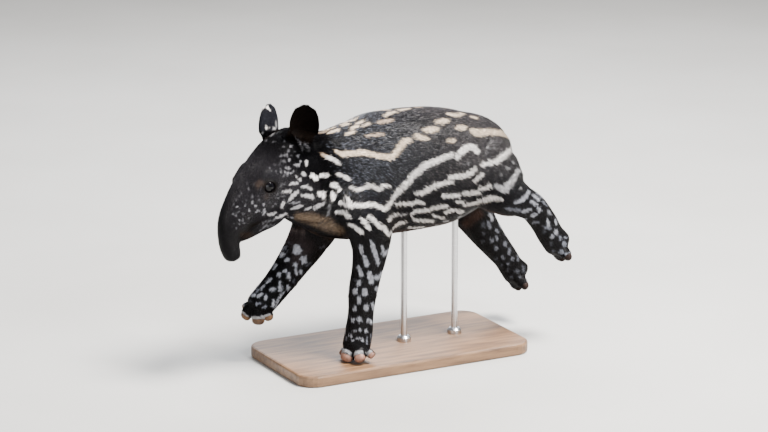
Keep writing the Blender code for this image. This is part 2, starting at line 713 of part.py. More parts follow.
def stand(pieces):
    """The flat base and the two rods that hold the body."""
    half_x, half_y = BASE_LENGTH / 2, BASE_WIDTH / 2
    outline = []
    for quarter, (sx, sy) in enumerate(((1, 1), (-1, 1), (-1, -1), (1, -1))):
        for step in range(7):
            swing = math.radians(90 * quarter + 15 * step)
            x = BASE_MIDDLE_X + sx * (half_x - BASE_CORNER) + BASE_CORNER * math.cos(swing)
            outline.append((x, sy * (half_y - BASE_CORNER) + BASE_CORNER * math.sin(swing)))
    count = len(outline)
    points = [(x, y, z) for z in (0.0, BASE_TOP) for x, y in outline]
    faces = [tuple(range(count - 1, -1, -1)), tuple(range(count, 2 * count))]
    faces += [(i, (i + 1) % count, (i + 1) % count + count, i + count) for i in range(count)]
    base = mesh_object("stand_base", [(points, faces)])
    bevel = base.modifiers.new("edge", "BEVEL")
    bevel.width = BASE_EDGE
    bevel.segments = 2
    bevel.limit_method = "ANGLE"
    apply_modifiers(base)
    rods = {}
    foot = BASE_TOP + GAP
    for name, x in ROD_PLACES.items():
        top = BELLY_AT_RODS[name] + ROD_IN_BELLY
        low = BELLY_AT_RODS[name] - ROD_SEAT_BELOW_BELLY
        seat = [(ROD_RADIUS + GAP, low), (ROD_RADIUS + GAP, top + GAP)]
        boolean(pieces["torso"], lathe("seat", seat, (x, 0)), "DIFFERENCE")
        profile = [(COLLAR_RADIUS, foot), (COLLAR_RADIUS, foot + COLLAR_HEIGHT * 0.6)]
        profile += [(COLLAR_RADIUS * 0.75, foot + COLLAR_HEIGHT), (ROD_RADIUS, foot + COLLAR_HEIGHT)]
        profile += [(ROD_RADIUS, top - ROD_TIP_EDGE), (ROD_RADIUS - ROD_TIP_EDGE, top)]
        rods["stand_rod_" + name] = lathe("stand_rod_" + name, profile, (x, 0))
    return base, rods


def main():
    for obj in list(bpy.data.objects):
        bpy.data.objects.remove(obj)
    coat = material("dark_coat", (0.020, 0.018, 0.018), 0.55)
    horn = material("hoof_horn", (0.30, 0.19, 0.13), 0.45)
    gloss = material("eye_gloss", (0.010, 0.007, 0.006), 0.06)
    wood = material("base_wood", (0.42, 0.29, 0.17), 0.50)
    steel = material("rod_steel", (0.60, 0.60, 0.60), 0.30, 1.0)
    pieces = parted(fused_flesh())
    for side, name in ((1, "left"), (-1, "right")):
        boolean(pieces["head"], lid_opening(side), "DIFFERENCE")
        eye = mesh_object("eye_" + name, [ball_shape(eye_place(side), [EYE_RADIUS] * 3, 16, 10)])
        finish(eye, gloss)
        boolean(pieces["head"], ear(name, "seat", GAP), "DIFFERENCE")
        finish(ear(name, "ear_" + name), coat, 60)
        u, v, w = NOSTRIL_PLACE
        nostril = mesh_object("nostril", [ball_shape(in_head(u, v, side * w), NOSTRIL_RADII, 12, 8)])
        boolean(pieces["snout"], nostril, "DIFFERENCE")
    level = (0, -1, 0)
    seat = [(*row[:3], *(size + GAP for size in row[3:])) for row in TAIL]
    boolean(pieces["torso"], mesh_object("seat", [loft(seat, level, 12, 3)]), "DIFFERENCE")
    finish(mesh_object("tail", [loft(TAIL, level, 12, 3)]), coat)
    base, rods = stand(pieces)
    finish(base, wood)
    for rod in rods.values():
        finish(rod, steel)
    for name in LEGS:
        foot = pieces[name + "_foot"]
        for k, toe in enumerate(toes_of(name)):
            boolean(foot, hoof("seat", toe, GAP), "DIFFERENCE", "MANIFOLD")
            piece = hoof("%s_hoof_%d" % (name, k + 1), toe)
            finish(level_sole(piece) if name == "fore_left" else piece, horn)
    level_sole(pieces["fore_left_foot"])
    for piece in pieces.values():
        finish(keep_largest(piece), coat, 50)


main()
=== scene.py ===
"""The dressed view of the tapir calf: one skin, its marked coat in tufts, eyes, hooves and stand.

Metres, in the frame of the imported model: the calf faces -X, its left side is -Y, +Z is up.
"""

import math
from collections import namedtuple

import bmesh
import bpy
import numpy as np
from mathutils import Matrix, Vector
from mathutils.bvhtree import BVHTree


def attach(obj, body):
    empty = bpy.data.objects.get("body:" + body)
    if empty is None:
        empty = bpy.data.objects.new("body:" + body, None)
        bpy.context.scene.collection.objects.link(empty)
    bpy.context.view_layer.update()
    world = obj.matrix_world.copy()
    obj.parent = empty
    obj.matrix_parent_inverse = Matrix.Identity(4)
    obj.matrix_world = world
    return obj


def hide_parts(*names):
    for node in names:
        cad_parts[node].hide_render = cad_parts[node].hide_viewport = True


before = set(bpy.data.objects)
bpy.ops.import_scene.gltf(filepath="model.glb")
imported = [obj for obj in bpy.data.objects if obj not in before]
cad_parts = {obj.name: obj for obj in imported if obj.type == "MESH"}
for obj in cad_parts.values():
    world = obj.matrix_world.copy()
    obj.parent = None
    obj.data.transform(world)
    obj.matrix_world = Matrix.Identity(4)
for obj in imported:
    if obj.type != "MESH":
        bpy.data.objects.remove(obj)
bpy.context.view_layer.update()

# The camera, at the photograph's angle, and how the photograph's pixels lie in front of it
IMAGE_WIDTH, IMAGE_HEIGHT = 768, 432
CAMERA_TURN, CAMERA_LIFT, CAMERA_FAR = -28.0, 15.0, 5.0
LOOK_AT = np.array((0.0, 0.0, 0.2227))
PIXELS_A_METRE = 650.0
SENSOR = 36.0

GAP = 0.0003
BASE_TOP = 0.018
SKIN_GRAIN, PLAIN_GRAIN, PLAIN_SMOOTHING = 0.0021, 0.0032, 9
CAP_TURNS = (20, 40, 58, 72, 82)

# The forms of the flesh, as in the solids
BODY = (
    (-0.158, 0, 0.312, 0.036, 0.058, 0.072),
    (-0.132, 0, 0.306, 0.043, 0.063, 0.082),
    (-0.108, 0, 0.301, 0.052, 0.071, 0.090),
    (-0.086, 0, 0.296, 0.061, 0.083, 0.094),
    (-0.062, 0, 0.290, 0.069, 0.094, 0.094),
    (-0.032, 0, 0.286, 0.075, 0.102, 0.091),
    (0.004, 0, 0.284, 0.078, 0.105, 0.088),
    (0.045, 0, 0.284, 0.080, 0.105, 0.087),
    (0.090, 0, 0.288, 0.079, 0.099, 0.088),
    (0.130, 0, 0.293, 0.073, 0.087, 0.080),
    (0.160, 0, 0.297, 0.064, 0.072, 0.066),
    (0.182, 0, 0.297, 0.055, 0.059, 0.056),
    (0.200, 0, 0.295, 0.041, 0.042, 0.042),
)
LEGS = {
    "fore_left": (
        (-0.032, 0.040, 0.335, 0.022, 0.034, 0.034),
        (-0.060, 0.050, 0.280, 0.030, 0.042, 0.044),
        (-0.053, 0.056, 0.222, 0.029, 0.038, 0.036),
        (-0.053, 0.056, 0.190, 0.025, 0.030, 0.029),
        (-0.059, 0.056, 0.158, 0.0220, 0.0245, 0.0245),
        (-0.066, 0.056, 0.126, 0.0210, 0.0230, 0.0230),
        (-0.070, 0.056, 0.092, 0.0195, 0.0205, 0.0210),
        (-0.074, 0.056, 0.060, 0.0220, 0.0215, 0.0225),
        (-0.078, 0.056, 0.040, 0.0235, 0.0220, 0.0225),
    ),
    "fore_right": (
        (-0.034, 0.040, 0.335, 0.022, 0.034, 0.034),
        (-0.072, 0.050, 0.272, 0.030, 0.044, 0.044),
        (-0.084, 0.055, 0.224, 0.030, 0.040, 0.047),
        (-0.103, 0.056, 0.184, 0.027, 0.034, 0.034),
        (-0.128, 0.056, 0.152, 0.0250, 0.0270, 0.0270),
        (-0.152, 0.055, 0.125, 0.0225, 0.0240, 0.0240),
        (-0.171, 0.055, 0.106, 0.0225, 0.0230, 0.0230),
        (-0.187, 0.055, 0.091, 0.0240, 0.0225, 0.0225),
    ),
    "hind_left": (
        (0.140, 0.040, 0.310, 0.030, 0.044, 0.052),
        (0.160, 0.050, 0.272, 0.032, 0.048, 0.055),
        (0.184, 0.060, 0.246, 0.028, 0.034, 0.043),
        (0.205, 0.063, 0.235, 0.0235, 0.0250, 0.0290),
        (0.227, 0.063, 0.2225, 0.0215, 0.0225, 0.0240),
        (0.246, 0.062, 0.197, 0.0200, 0.0200, 0.0245),
        (0.260, 0.061, 0.174, 0.0200, 0.0195, 0.0240),
        (0.273, 0.061, 0.157, 0.0215, 0.0205, 0.0260),
    ),
    "hind_right": (
        (0.140, 0.040, 0.310, 0.030, 0.044, 0.052),
        (0.162, 0.052, 0.258, 0.031, 0.048, 0.050),
        (0.180, 0.058, 0.208, 0.027, 0.037, 0.041),
        (0.200, 0.058, 0.173, 0.0250, 0.0290, 0.0315),
        (0.224, 0.056, 0.140, 0.0220, 0.0240, 0.0255),
        (0.2465, 0.055, 0.112, 0.0195, 0.0205, 0.0220),
        (0.257, 0.055, 0.096, 0.0195, 0.0200, 0.0215),
        (0.266, 0.055, 0.082, 0.0215, 0.0200, 0.0265),
    ),
}
FORE_TOES = (
    (-28, 0.0195, 0.0074, 0.003),
    (-5, 0.0250, 0.0106, -0.003),
    (28, 0.0238, 0.0090, -0.003),
    (62, 0.0155, 0.0056, 0.006),
)
HIND_TOES = (
    (-36, 0.0228, 0.0083, -0.002),
    (0, 0.0256, 0.0094, -0.004),
    (36, 0.0228, 0.0083, -0.002),
)
TOE_SPREAD = 0.0205
# Under each toe's lobe, and the lobe itself, which stays apart from its neighbours
TOE_ROWS = {
    "fore": ((0.40, 0.90, 0.98, 1.12), (0.62, 0.82, 0.88, 0.94)),
    "hind": ((0.42, 1.16, 1.20, 1.30), (0.78, 1.18, 1.20, 1.22)),
}
LOBE_ROWS = ((0.10, 0.92, 0.98, 1.04), (0.45, 1.05, 1.08, 1.12), (0.76, 1.06, 1.06, 1.06))
LOBE_END, LOBE_SMOOTHING = 0.40, 3
TOE_ROOT, TOE_ROOT_BEHIND = (0.95, 1.15, 1.30), 0.006
TOE_WAY = {
    "fore_left": (-0.70, -0.71, 24),
    "fore_right": (-0.34, -0.94, 30),
    "hind_left": (0.55, -0.83, 0),
    "hind_right": (0.38, -0.92, 0),
}
CORONET_TOP = {"fore_left": -0.0026, "fore_right": 0.0008}
HOOF_SHARE, HOOF_WIDTH, HOOF_THICKNESS = 0.30, 0.98, 0.92
HOOF_BEYOND_TOE, HOOF_SOLE = 0.40, 0.80
# Along a hoof: share of its length, of its breadth and of its thickness
HOOF_ROWS = (
    (0.00, 0.84, 0.88),
    (0.35, 0.95, 0.95),
    (0.62, 0.95, 0.86),
    (0.82, 0.85, 0.70),
    (0.94, 0.70, 0.54),
    (1.00, 0.55, 0.40),
)

HEAD_PLACE = (-0.2195, 0.0, 0.303)
HEAD_PITCH, HEAD_YAW, HEAD_ROLL = 49.0, 11.0, 2.0
SKULL = (
    (-0.086, 0, -0.016, 0.033, 0.0240, 0.034),
    (-0.062, 0, -0.014, 0.040, 0.0335, 0.052),
    (-0.032, 0, -0.012, 0.042, 0.0365, 0.062),
    (0.000, 0, -0.012, 0.040, 0.0380, 0.056),
    (0.030, 0, -0.011, 0.033, 0.0385, 0.042),
    (0.056, 0, -0.010, 0.0275, 0.0340, 0.028),
    (0.078, 0, -0.012, 0.0225, 0.029, 0.018),
)
SNOUT = (
    (0.050, 0, -0.003, 0.0250, 0.0260, 0.0200),
    (0.076, 0, -0.007, 0.0215, 0.0225, 0.0170),
    (0.095, 0, -0.018, 0.0172, 0.0182, 0.0152),
    (0.106, 0, -0.031, 0.0152, 0.0157, 0.0142),
    (0.1115, 0, -0.0403, 0.0136, 0.0122, 0.0122),
)
JAW = (
    (-0.030, 0, -0.045, 0.033, 0.022, 0.028),
    (0.000, 0, -0.046, 0.031, 0.020, 0.029),
    (0.025, 0, -0.044, 0.027, 0.018, 0.027),
    (0.048, 0, -0.038, 0.021, 0.014, 0.019),
    (0.068, 0, -0.032, 0.015, 0.011, 0.014),
    (0.080, 0, -0.028, 0.011, 0.009, 0.010),
)
CHEEK = ((-0.030, 0.022, -0.036, 0.017, 0.026, 0.026), (0.012, 0.021, -0.034, 0.014, 0.022, 0.022))
BROW = ((-0.014, 0.026, 0.010, 0.010, 0.010, 0.012), (0.012, 0.024, 0.012, 0.009, 0.009, 0.012))
MOUTH_LINE = (
    (0.098, -0.050),
    (0.0905, -0.033),
    (0.0845, -0.0225),
    (0.0740, -0.0205),
    (0.0610, -0.0270),
    (0.0490, -0.0345),
)
MOUTH_GAP = 0.0026
HEAD_HALF = 0.050
NOSTRIL_PLACE, NOSTRIL_RADII = (0.1150, -0.0450, 0.0056), (0.0040, 0.0027, 0.0043)
EYE_PLACE = (-0.0019, -0.0033, 0.0292)
EYE_RADIUS, LID = 0.0104, 0.0024
EYE_FACES = (0.28, 0.10, 0.95)
EYE_OPENING = (0.0099, 0.0090)
# The cut between the lids: how far out in eye radii, and its share of the opening
OPENING_ROWS = ((0.55, 0.85), (1.05, 1.0), (1.70, 1.25))
# Round a lid's section: how far outside the opening, and how far off the eyeball
LID_ROWS = (
    (0.0, 0.0003), (0.0001, 0.0009), (0.0007, 0.0017), (0.0019, 0.0019),
    (0.0038, 0.0008), (0.0060, -0.0010), (0.0034, -0.0008), (0.0012, 0.0000),
)
EARS = {
    "left": ((-0.089, -0.004, 0.042), (-0.47, -0.88), 0.06),
    "right": ((-0.0747, -0.003, 0.0369), (-0.45, 0.89), 0.16),
}
EAR_LENGTH, EAR_ROOT_DEPTH = 0.051, 0.006
EAR_HALF_WIDTHS = (0.0108, 0.0140, 0.0199, 0.0222, 0.0226, 0.0222, 0.0210, 0.0188, 0.0150, 0.0045)
EAR_DEPTH_SHARES, EAR_DEPTHS = (0.0, 0.25, 0.6, 1.0), (0.0090, 0.0125, 0.0095, 0.0015)
EAR_BENT_BACK = 0.005
EAR_WALL, EAR_RIM, EAR_MIDDLE = 0.0021, 0.70, 0.35
EAR_SOFT_REACH, EAR_SOFT_FROM, EAR_SOFT_TO, EAR_SMOOTHING = 0.022, -0.010, 0.009, 10
EAR_SOLID, EAR_HOLLOWED, EAR_BULGE = 0.10, 0.32, 0.30
EAR_STALK, EAR_STALK_END, EAR_STALK_RADII = (0.012, -0.026, 0.016), 0.003, (0.0165, 0.0118)
TAIL = (
    (0.190, 0, 0.322, 0.0110, 0.0110, 0.0110),
    (0.207, 0, 0.315, 0.0088, 0.0088, 0.0088),
    (0.2195, 0, 0.301, 0.0068, 0.0068, 0.0068),
    (0.2260, 0, 0.286, 0.0052, 0.0052, 0.0052),
)

# Colours of the coat
CREAM = (0.66, 0.53, 0.40)
CHALK = (0.76, 0.72, 0.69)
DUN = (0.36, 0.27, 0.20)
FROST = (0.36, 0.35, 0.355)
MIST = (0.110, 0.107, 0.110)
BLACK = (0.0012, 0.0011, 0.0013)
SHOULDER_BLACK = (0.0046, 0.0044, 0.0058)
# The back's own brown, made lighter as painted sunlight on the top of the back
BROWN_AND_SUNLIT_BACK = (0.0250, 0.0220, 0.0235)
LOW_BLACK = (0.0034, 0.0029, 0.0034)
FACE_GREY = (0.0056, 0.0050, 0.0060)
SNOUT_GREY = (0.0024, 0.0021, 0.0025)
EAR_SLATE = (0.0060, 0.0062, 0.0080)
GLINT = (0.150, 0.160, 0.195)
REAR_GLINT = (0.150, 0.134, 0.132)
# Dark lids, and painted shade round the eyes, inside the ear cups and along the mouth
DARK_SKIN_AND_SHADE = (0.0020, 0.0013, 0.0010)
# Painted shade in the throat's creases and under the neck and the chin
CREASE_AND_UNDER_SHADE = (0.014, 0.008, 0.005)
EYE_BROWN = (0.0215, 0.0140, 0.0105)
ROSE_GREY = (0.090, 0.068, 0.066)
THROAT_TAN = (0.135, 0.094, 0.062)
# Brownish, and lighter as painted light, on the top of the far foreleg
LIT_LEG_UMBER = (0.0210, 0.0150, 0.0155)
# Painted shade: the chalk of a stripe, dimmed where it lies low on the rump
SHADED_CHALK = (0.43, 0.42, 0.43)
GROIN_BROWN = (0.055, 0.028, 0.020)

# The marks, in the photograph's pixels. Each is a colour and the points that it runs through,
# and each point is x, y and the breadth there. One point is a round spot.
MARKS = {
    "torso": (
        # the long shoulder stripe and the row of spots that carries it on over the back
        (CREAM, (337, 151.4, 4), (342.6, 154, 6), (352, 154, 6), (359, 152.4, 6.5), (368.5, 153.8, 6),
         (378, 156, 5.5), (386, 157, 6), (391.6, 157.5, 6), (397, 152.4, 6.5), (401, 145.5, 7),
         (405.5, 140.8, 6), (410, 140.3, 5)),
        (CREAM, (416, 135.8, 4.5), (420.5, 137.3, 6), (426, 138.8, 4.5)),
        (CREAM, (425.5, 130.4, 5), (430.5, 129.8, 7), (436.5, 129.3, 5)),
        (CREAM, (437.5, 122, 4.5), (442.5, 121.6, 6), (447.5, 121, 4.5)),
        (CREAM, (448.5, 114.2, 3), (457, 115.7, 4), (463, 114, 3)),
        (CREAM, (471, 117, 2.5), (476, 118, 3)),
        # the second stripe, from behind the elbow up to the loin
        (CHALK, (394.5, 196, 5), (400, 190.3, 6.5), (407, 183.4, 6.5), (415, 174.2, 7), (425.3, 165.6, 7),
         (434.4, 161.6, 6), (446, 157, 6), (452.5, 154.7, 5)),
        (CHALK, (457, 157.5, 5), (461, 152.8, 7), (466.6, 147.8, 7), (473, 146.9, 6),
         (477.5, 151.6, 5.5)),
        (CHALK, (351.3, 187.5, 2.5), (357.4, 190, 4.5), (363.8, 188.4, 4.5), (369.4, 185.4, 4.5),
         (374, 186.3, 4.5), (379.6, 190, 4), (383.3, 186, 4), (389, 186.3, 3.5)),
        (CHALK, (340.5, 202.6, 3), (346.3, 205, 4.5), (352, 205.3, 5.5), (364.8, 205, 5),
         (374, 204.4, 4.5), (379.6, 207, 4.5), (385.1, 209.8, 5), (389.7, 204.4, 4.5), (393, 199.6, 4)),
        (CHALK, (345.4, 197.6, 2.5), (350, 202.3, 4)),
        (CHALK, (337.2, 211.7, 3), (343.5, 212.2, 4.2), (348.8, 217, 4.5)),
        (CHALK, (360.2, 218, 3), (364.8, 222, 4), (369.2, 228.8, 4.2)),
        (CHALK, (369.4, 216.4, 3.5), (374, 220.8, 4.5), (379.6, 226.4, 5), (385, 228.4, 5),
         (388.5, 235.5, 3)),
        (CHALK, (388.8, 235.5, 2.5), (392.5, 228.4, 3)),
        (CHALK, (349.5, 224.7, 3), (354.6, 226.6, 4.2), (361.6, 232.4, 4.8)),
        (CHALK, (388.8, 220.6, 2.5), (391.8, 216.4, 3.2), (397.5, 214.4, 3)),
        (FROST, (400.8, 215.3, 2.5), (406, 214.4, 2.5)),
        (CHALK, (394.4, 227, 2.2), (400, 222.9, 3), (405.3, 221.8, 2.8)),
        # rows along the belly
        (CHALK, (396.4, 205, 3), (401.8, 203.8, 4), (412, 204.2, 4.2), (416.6, 202, 4),
         (424, 203.2, 3.2)),
        (CHALK, (411.6, 215, 3), (415, 211.6, 3.8), (425.3, 210.8, 3.8), (434.4, 208.2, 4),
         (446.6, 206, 3.5)),
        (CHALK, (445.2, 212.6, 3), (450.5, 210.4, 3.8), (455.6, 209.8, 3.2)),
        (CHALK, (457.4, 211, 4), (462, 211.8, 4)),
        (FROST, (459.7, 216.7, 3.6)),
        (CHALK, (433.8, 215.6, 2.8), (443, 218.2, 3.2)),
        (CHALK, (414, 219.7, 2.8), (433, 221.2, 3.2)),
        (CHALK, (408.6, 227.4, 2), (422.6, 226.8, 2.4)),
        (FROST, (443.6, 221.3, 2.2), (448, 220.7, 2.2)),
        (FROST, (436.7, 224.7, 2.6)),
        # the flank
        (CHALK, (449.8, 177.8, 4.5), (457.4, 176.6, 6), (465.4, 175.8, 5.5), (471.2, 173, 5.5),
         (475.4, 168.8, 4.5)),
        (CHALK, (415.4, 193.7, 2.5), (421.8, 193.4, 4.5), (428.7, 190, 5.5), (435.6, 185.9, 5.5),
         (446, 183, 5), (451.6, 182.2, 4)),
        (CHALK, (475, 181.4, 3.5), (479.2, 177, 5), (483.4, 174.4, 4)),
        (CHALK, (443.4, 196.6, 4), (459.2, 195.4, 4.8)),
        (CHALK, (464.4, 193.8, 4.6), (478.4, 192.6, 5.2)),
        (CHALK, (480.8, 189.5, 3.6), (490.2, 185.9, 4.2)),
        (CHALK, (456.6, 202.3, 3.2), (463, 201.8, 3.2)),
        (CHALK, (464, 205.2, 3), (474.6, 203.5, 3.6), (485, 200.2, 5), (491.8, 198.2, 5.6),
         (501.4, 199, 3.2)),
        # the rump
        (CREAM, (472, 130.8, 5), (478.4, 133.2, 8.5), (489.5, 132.2, 6.5), (499.9, 132.9, 6),
         (506.8, 135.6, 5), (512, 138, 3)),
        (CHALK, (482.4, 165, 4.5), (487.2, 163.9, 5.5), (497.6, 161, 5.8), (504.5, 155.8, 5.8),
         (510.2, 150.2, 5), (513.8, 147.4, 3.5)),
        # the low rump stripe, in painted shade
        (SHADED_CHALK, (497, 186.6, 5.5), (504.6, 189.6, 8.5), (510.2, 184.2, 6.5), (515, 177.6, 5.5),
         (518.4, 170.6, 4)),
        # spots of the back
        (CREAM, (457.8, 128, 4.5), (461.4, 128, 6), (464.8, 128, 4.5)),
        (CREAM, (448.6, 141, 3.5), (451.8, 141, 5), (454.6, 141, 3.5)),
        (CREAM, (329.2, 132.8, 2.4), (338, 129.9, 3)),
        (CREAM, (341, 125.4, 2.2), (346, 124.2, 2.4)),
        (CREAM, (351, 128.6, 3), (357, 126.3, 3.4)),
        (CREAM, (345.8, 134.6, 2.6), (353, 132.2, 3.2)),
        (CREAM, (357, 123.5, 2.6), (362.4, 121.6, 2.8)),
        (CREAM, (363.4, 126.2, 2.4), (368.6, 123.9, 2.8)),
        (DUN, (366, 136.5, 2.4), (376.8, 134.8, 3.4), (383, 134.4, 3.2)),
        (DUN, (379.2, 122.6, 3.4), (386, 121.4, 4), (391.8, 120.1, 3)),
        (CREAM, (385.2, 116, 3), (389.9, 113.2, 3.8), (395.2, 112.2, 3)),
        (CREAM, (400.4, 110.6, 2.2), (408.6, 109, 2.6)),
        (DUN, (415.4, 107.6, 3.2), (419.8, 107.5, 3.2)),
        (MIST, (464.5, 164.6, 2), (469.5, 163, 2.4)),
        (MIST, (488.2, 149, 2.6)),
        (MIST, (493.6, 147.8, 2.4)),
        (FROST, (501.6, 174.6, 2.2)),
        (FROST, (508.2, 168.8, 2.6)),
        (FROST, (513.4, 163, 2.2)),
        (FROST, (520.6, 188.6, 2.4)),
    ),
    "neck": (
        (DUN, (321.6, 154.3, 2.5), (327.5, 157.2, 3.6)),
        (CHALK, (327.5, 157.2, 3.6), (333, 160, 4.4), (339.2, 163.4, 3)),
        (CHALK, (337.2, 173.8, 2.5), (344.4, 176.6, 4.2), (349.4, 179.6, 3.2)),
        (CHALK, (331.8, 183.8, 3.2), (335.4, 186, 5.2), (339, 189.6, 3.6)),
        (CHALK, (331.8, 193, 4), (333.4, 196.8, 5.8), (332.8, 200.8, 3.6)),
        (CHALK, (319.2, 193.2, 4.5), (322.2, 195, 6.2), (323.4, 197, 4.5)),
        (CHALK, (312.8, 175.8, 4), (315.4, 178.4, 5.4)),
        (CHALK, (320.4, 175.6, 2.4), (324.2, 174.9, 3.8), (328, 175.5, 2.4)),
        (MIST, (329.6, 205.5, 2.2), (328.2, 214.6, 2.6)),
        (DUN, (319.8, 133.2, 1.6), (326.6, 131.5, 2.2)),
    ),
    "head": (
        # behind the eye
        (CHALK, (289.6, 184.3, 1.6), (293.4, 183.4, 3.2), (296.6, 183.2, 2.4)),
        (CHALK, (281.6, 192.6, 1.4), (286, 191.6, 2.8), (290, 191, 3)),
        (CHALK, (296.4, 176.8, 1.8), (300, 180.2, 2.4)),
        (CHALK, (301.6, 173, 2.6), (305.4, 175.2, 3.4)),
        (CHALK, (301.4, 186.4, 2.2), (306.6, 186.6, 4), (311, 189.2, 3)),
        (CHALK, (290, 200.2, 3.4), (293.2, 195, 5.6), (297, 192, 3.8)),
        (CHALK, (300.6, 195, 1.8), (307, 195.9, 4.2), (311.6, 196.8, 6.6)),
        (FROST, (292, 203.4, 2.2), (299, 202.2, 2.6)),
        (CHALK, (292.4, 208.8, 2.6), (297.6, 207.2, 5.2), (301.6, 205.8, 3.6)),
        (CHALK, (283, 202, 2.8), (282.8, 204.4, 4.2), (282, 207, 3)),
        (FROST, (288.2, 202, 2.8)),
        (CHALK, (268.2, 214.8, 3), (271.6, 214.2, 4), (275, 213.3, 2.6)),
        (FROST, (264.4, 210.4, 3), (264, 213.6, 3.4)),
        (CHALK, (276, 218.2, 2), (281.6, 216, 3.2), (286.4, 213.6, 2.4)),
        (CHALK, (306, 209.7, 2.8), (310.4, 208.4, 3.2)),
        (CHALK, (314.4, 208.4, 3.6), (318.6, 206.2, 4.6), (323.2, 203.8, 4.6)),
        (FROST, (284.4, 219, 1.8), (293, 217.6, 2.4)),
        (MIST, (260.4, 223.4, 1.2), (274.6, 219.8, 1.6)),
        (MIST, (260, 230.4, 1.8), (265.2, 226.4, 2.8), (274.6, 225.2, 2)),
        (MIST, (276.6, 197.9, 1), (285.2, 195.8, 1.4)),
        (MIST, (276, 194.9, 1), (281.4, 192.4, 1.4)),
        # a painted sheen line on the hair behind the eye
        (MIST, (280.2, 185.8, 1.2), (284.2, 184, 1.6)),
        (MIST, (272.4, 206.6, 1), (277.6, 202.4, 1.4)),
        (MIST, (282, 176, 1), (287.4, 175.4, 1.4)),
        # the muzzle
        (FROST, (247.9, 188.8, 2.4)),
        (MIST, (247.5, 182.8, 1.8)),
        (FROST, (241.2, 192.3, 2)),
        (MIST, (238.4, 195.8, 1.8)),
        (FROST, (253.2, 202.5, 2.6)),
        (FROST, (263.7, 204.6, 2.8)),
        (FROST, (254.9, 206, 2.6)),
        (FROST, (245.1, 205.3, 2.6)),
        (FROST, (237.4, 206.7, 2.2)),
        (FROST, (250, 210.9, 2.6)),
        (FROST, (256.6, 211.2, 1.8), (259, 210.6, 2)),
        (FROST, (243, 213.7, 2.6)),
        (MIST, (238.4, 212, 2)),
        (FROST, (239.8, 220, 2.4)),
        (MIST, (248.6, 218.2, 1.8)),
        (MIST, (252.8, 196.5, 1.8)),
        (MIST, (258, 195.8, 1.6)),
        (MIST, (258.8, 200.4, 2)),
        (MIST, (270, 202.8, 1.8)),
        (MIST, (233.5, 214, 1.8)),
        (MIST, (236.3, 215.4, 1.8)),
        (MIST, (242.6, 220.4, 1.8)),
        (MIST, (234.6, 223.6, 1.6)),
        (MIST, (234, 204.4, 1.6)),
        (MIST, (242.6, 201.4, 1.8)),
        (MIST, (235.3, 199.3, 1.6)),
        (MIST, (232.1, 226, 1.6)),
        (MIST, (236, 227.6, 1.4)),
        (MIST, (244, 223.2, 1.8)),
        (MIST, (239, 224.2, 1.6)),
        (MIST, (246.8, 200.2, 1.6)),
        (MIST, (240.4, 208.2, 1.6)),
        # the crown
        (MIST, (275.6, 171.2, 1.6)),
        (MIST, (271.8, 170.4, 1.4)),
        (MIST, (277.4, 174.6, 1.4)),
        (MIST, (294.4, 151.4, 1.8)),
        (MIST, (290.4, 155.6, 1.6)),
        (MIST, (283.8, 146.2, 1.6)),
        (FROST, (291, 146.2, 2.6)),
        (MIST, (288.4, 151.6, 3.4)),
        (MIST, (280.6, 155.5, 2.6), (286.4, 155.5, 3)),
        (FROST, (298, 155.9, 3.4)),
        (FROST, (289.6, 159.9, 2.8)),
        (MIST, (280.8, 161.6, 1.8), (285.6, 161.4, 2)),
        (MIST, (279.4, 163.6, 1.8)),
        (FROST, (294.6, 164.6, 2.2), (298.6, 165.2, 2.8)),
        (FROST, (300.6, 161.8, 3)),
        (CHALK, (306.6, 161.4, 3.4), (306.8, 164.4, 3.6)),
        (FROST, (286, 167.5, 1.6), (289.4, 168.6, 2.2)),
        (MIST, (281, 169, 2)),
        (FROST, (281.8, 171.6, 2.2)),
        (FROST, (285.2, 172.4, 1.8), (290.6, 173.3, 2.4)),
        (FROST, (293.4, 171.4, 2.2)),
        (MIST, (269.2, 168.2, 2)),
        (MIST, (274.9, 165, 1.8)),
        (MIST, (284.6, 141.5, 1.8)),
        (MIST, (280.4, 149, 1.6)),
        (MIST, (265.8, 140.8, 2.2)),
        (MIST, (296, 137.4, 1.6), (299.6, 142, 2), (302.8, 150, 2)),
        (MIST, (305.4, 144.4, 3), (308.2, 149.4, 3.2)),
    ),
    "ear_right": (
        (CHALK, (259.6, 111.6, 1.2), (261.4, 108, 1.8), (264.4, 106.2, 2.2), (267, 107, 1.8),
         (269.8, 110.4, 1.2)),
        (CHALK, (267.1, 127.6, 2.4)),
        (FROST, (273.8, 128.2, 2.8)),
        (MIST, (276, 122, 1.6), (276.6, 126, 1.6)),
        (MIST, (262.6, 131.6, 1.4), (262.8, 134, 1.4)),
        (MIST, (273.6, 133.4, 1.6), (270.6, 136.2, 1.4)),
    ),
    "fore_left": (
        (CHALK, (371.4, 242.6, 3.6), (374.8, 252.3, 5), (378.2, 263.6, 3.4)),
        (CHALK, (360.9, 246.6, 4), (361.6, 252.6, 3.6)),
        (CHALK, (364, 256.6, 3.8), (366.8, 264.6, 4.6)),
        (CHALK, (382.1, 246.6, 2.4), (383.7, 255, 3.6), (389.6, 249, 2.8)),
        (CHALK, (358.8, 267.6, 4.2), (361.2, 274.4, 4.8)),
        (CHALK, (369.2, 273.4, 4.8), (371.4, 281.8, 5.6)),
        (CHALK, (375.4, 278, 4.4), (379, 277.4, 4.6), (382.4, 273, 2.6)),
        (CHALK, (359.4, 281.6, 4.2), (359.4, 284.4, 4.4)),
        (MIST, (354.6, 279.6, 2.2)),
        (CHALK, (354.9, 290.4, 4.4), (354.9, 292.8, 4.4)),
        (CHALK, (364.6, 290.8, 5.6), (365.2, 293.6, 6)),
        (CHALK, (376.6, 288.6, 4.4), (378.6, 289.8, 4.6)),
        (CHALK, (358.6, 298.4, 4), (359.2, 301.6, 4.4)),
        (CHALK, (354.9, 307.4, 2.8), (355, 310, 3.4)),
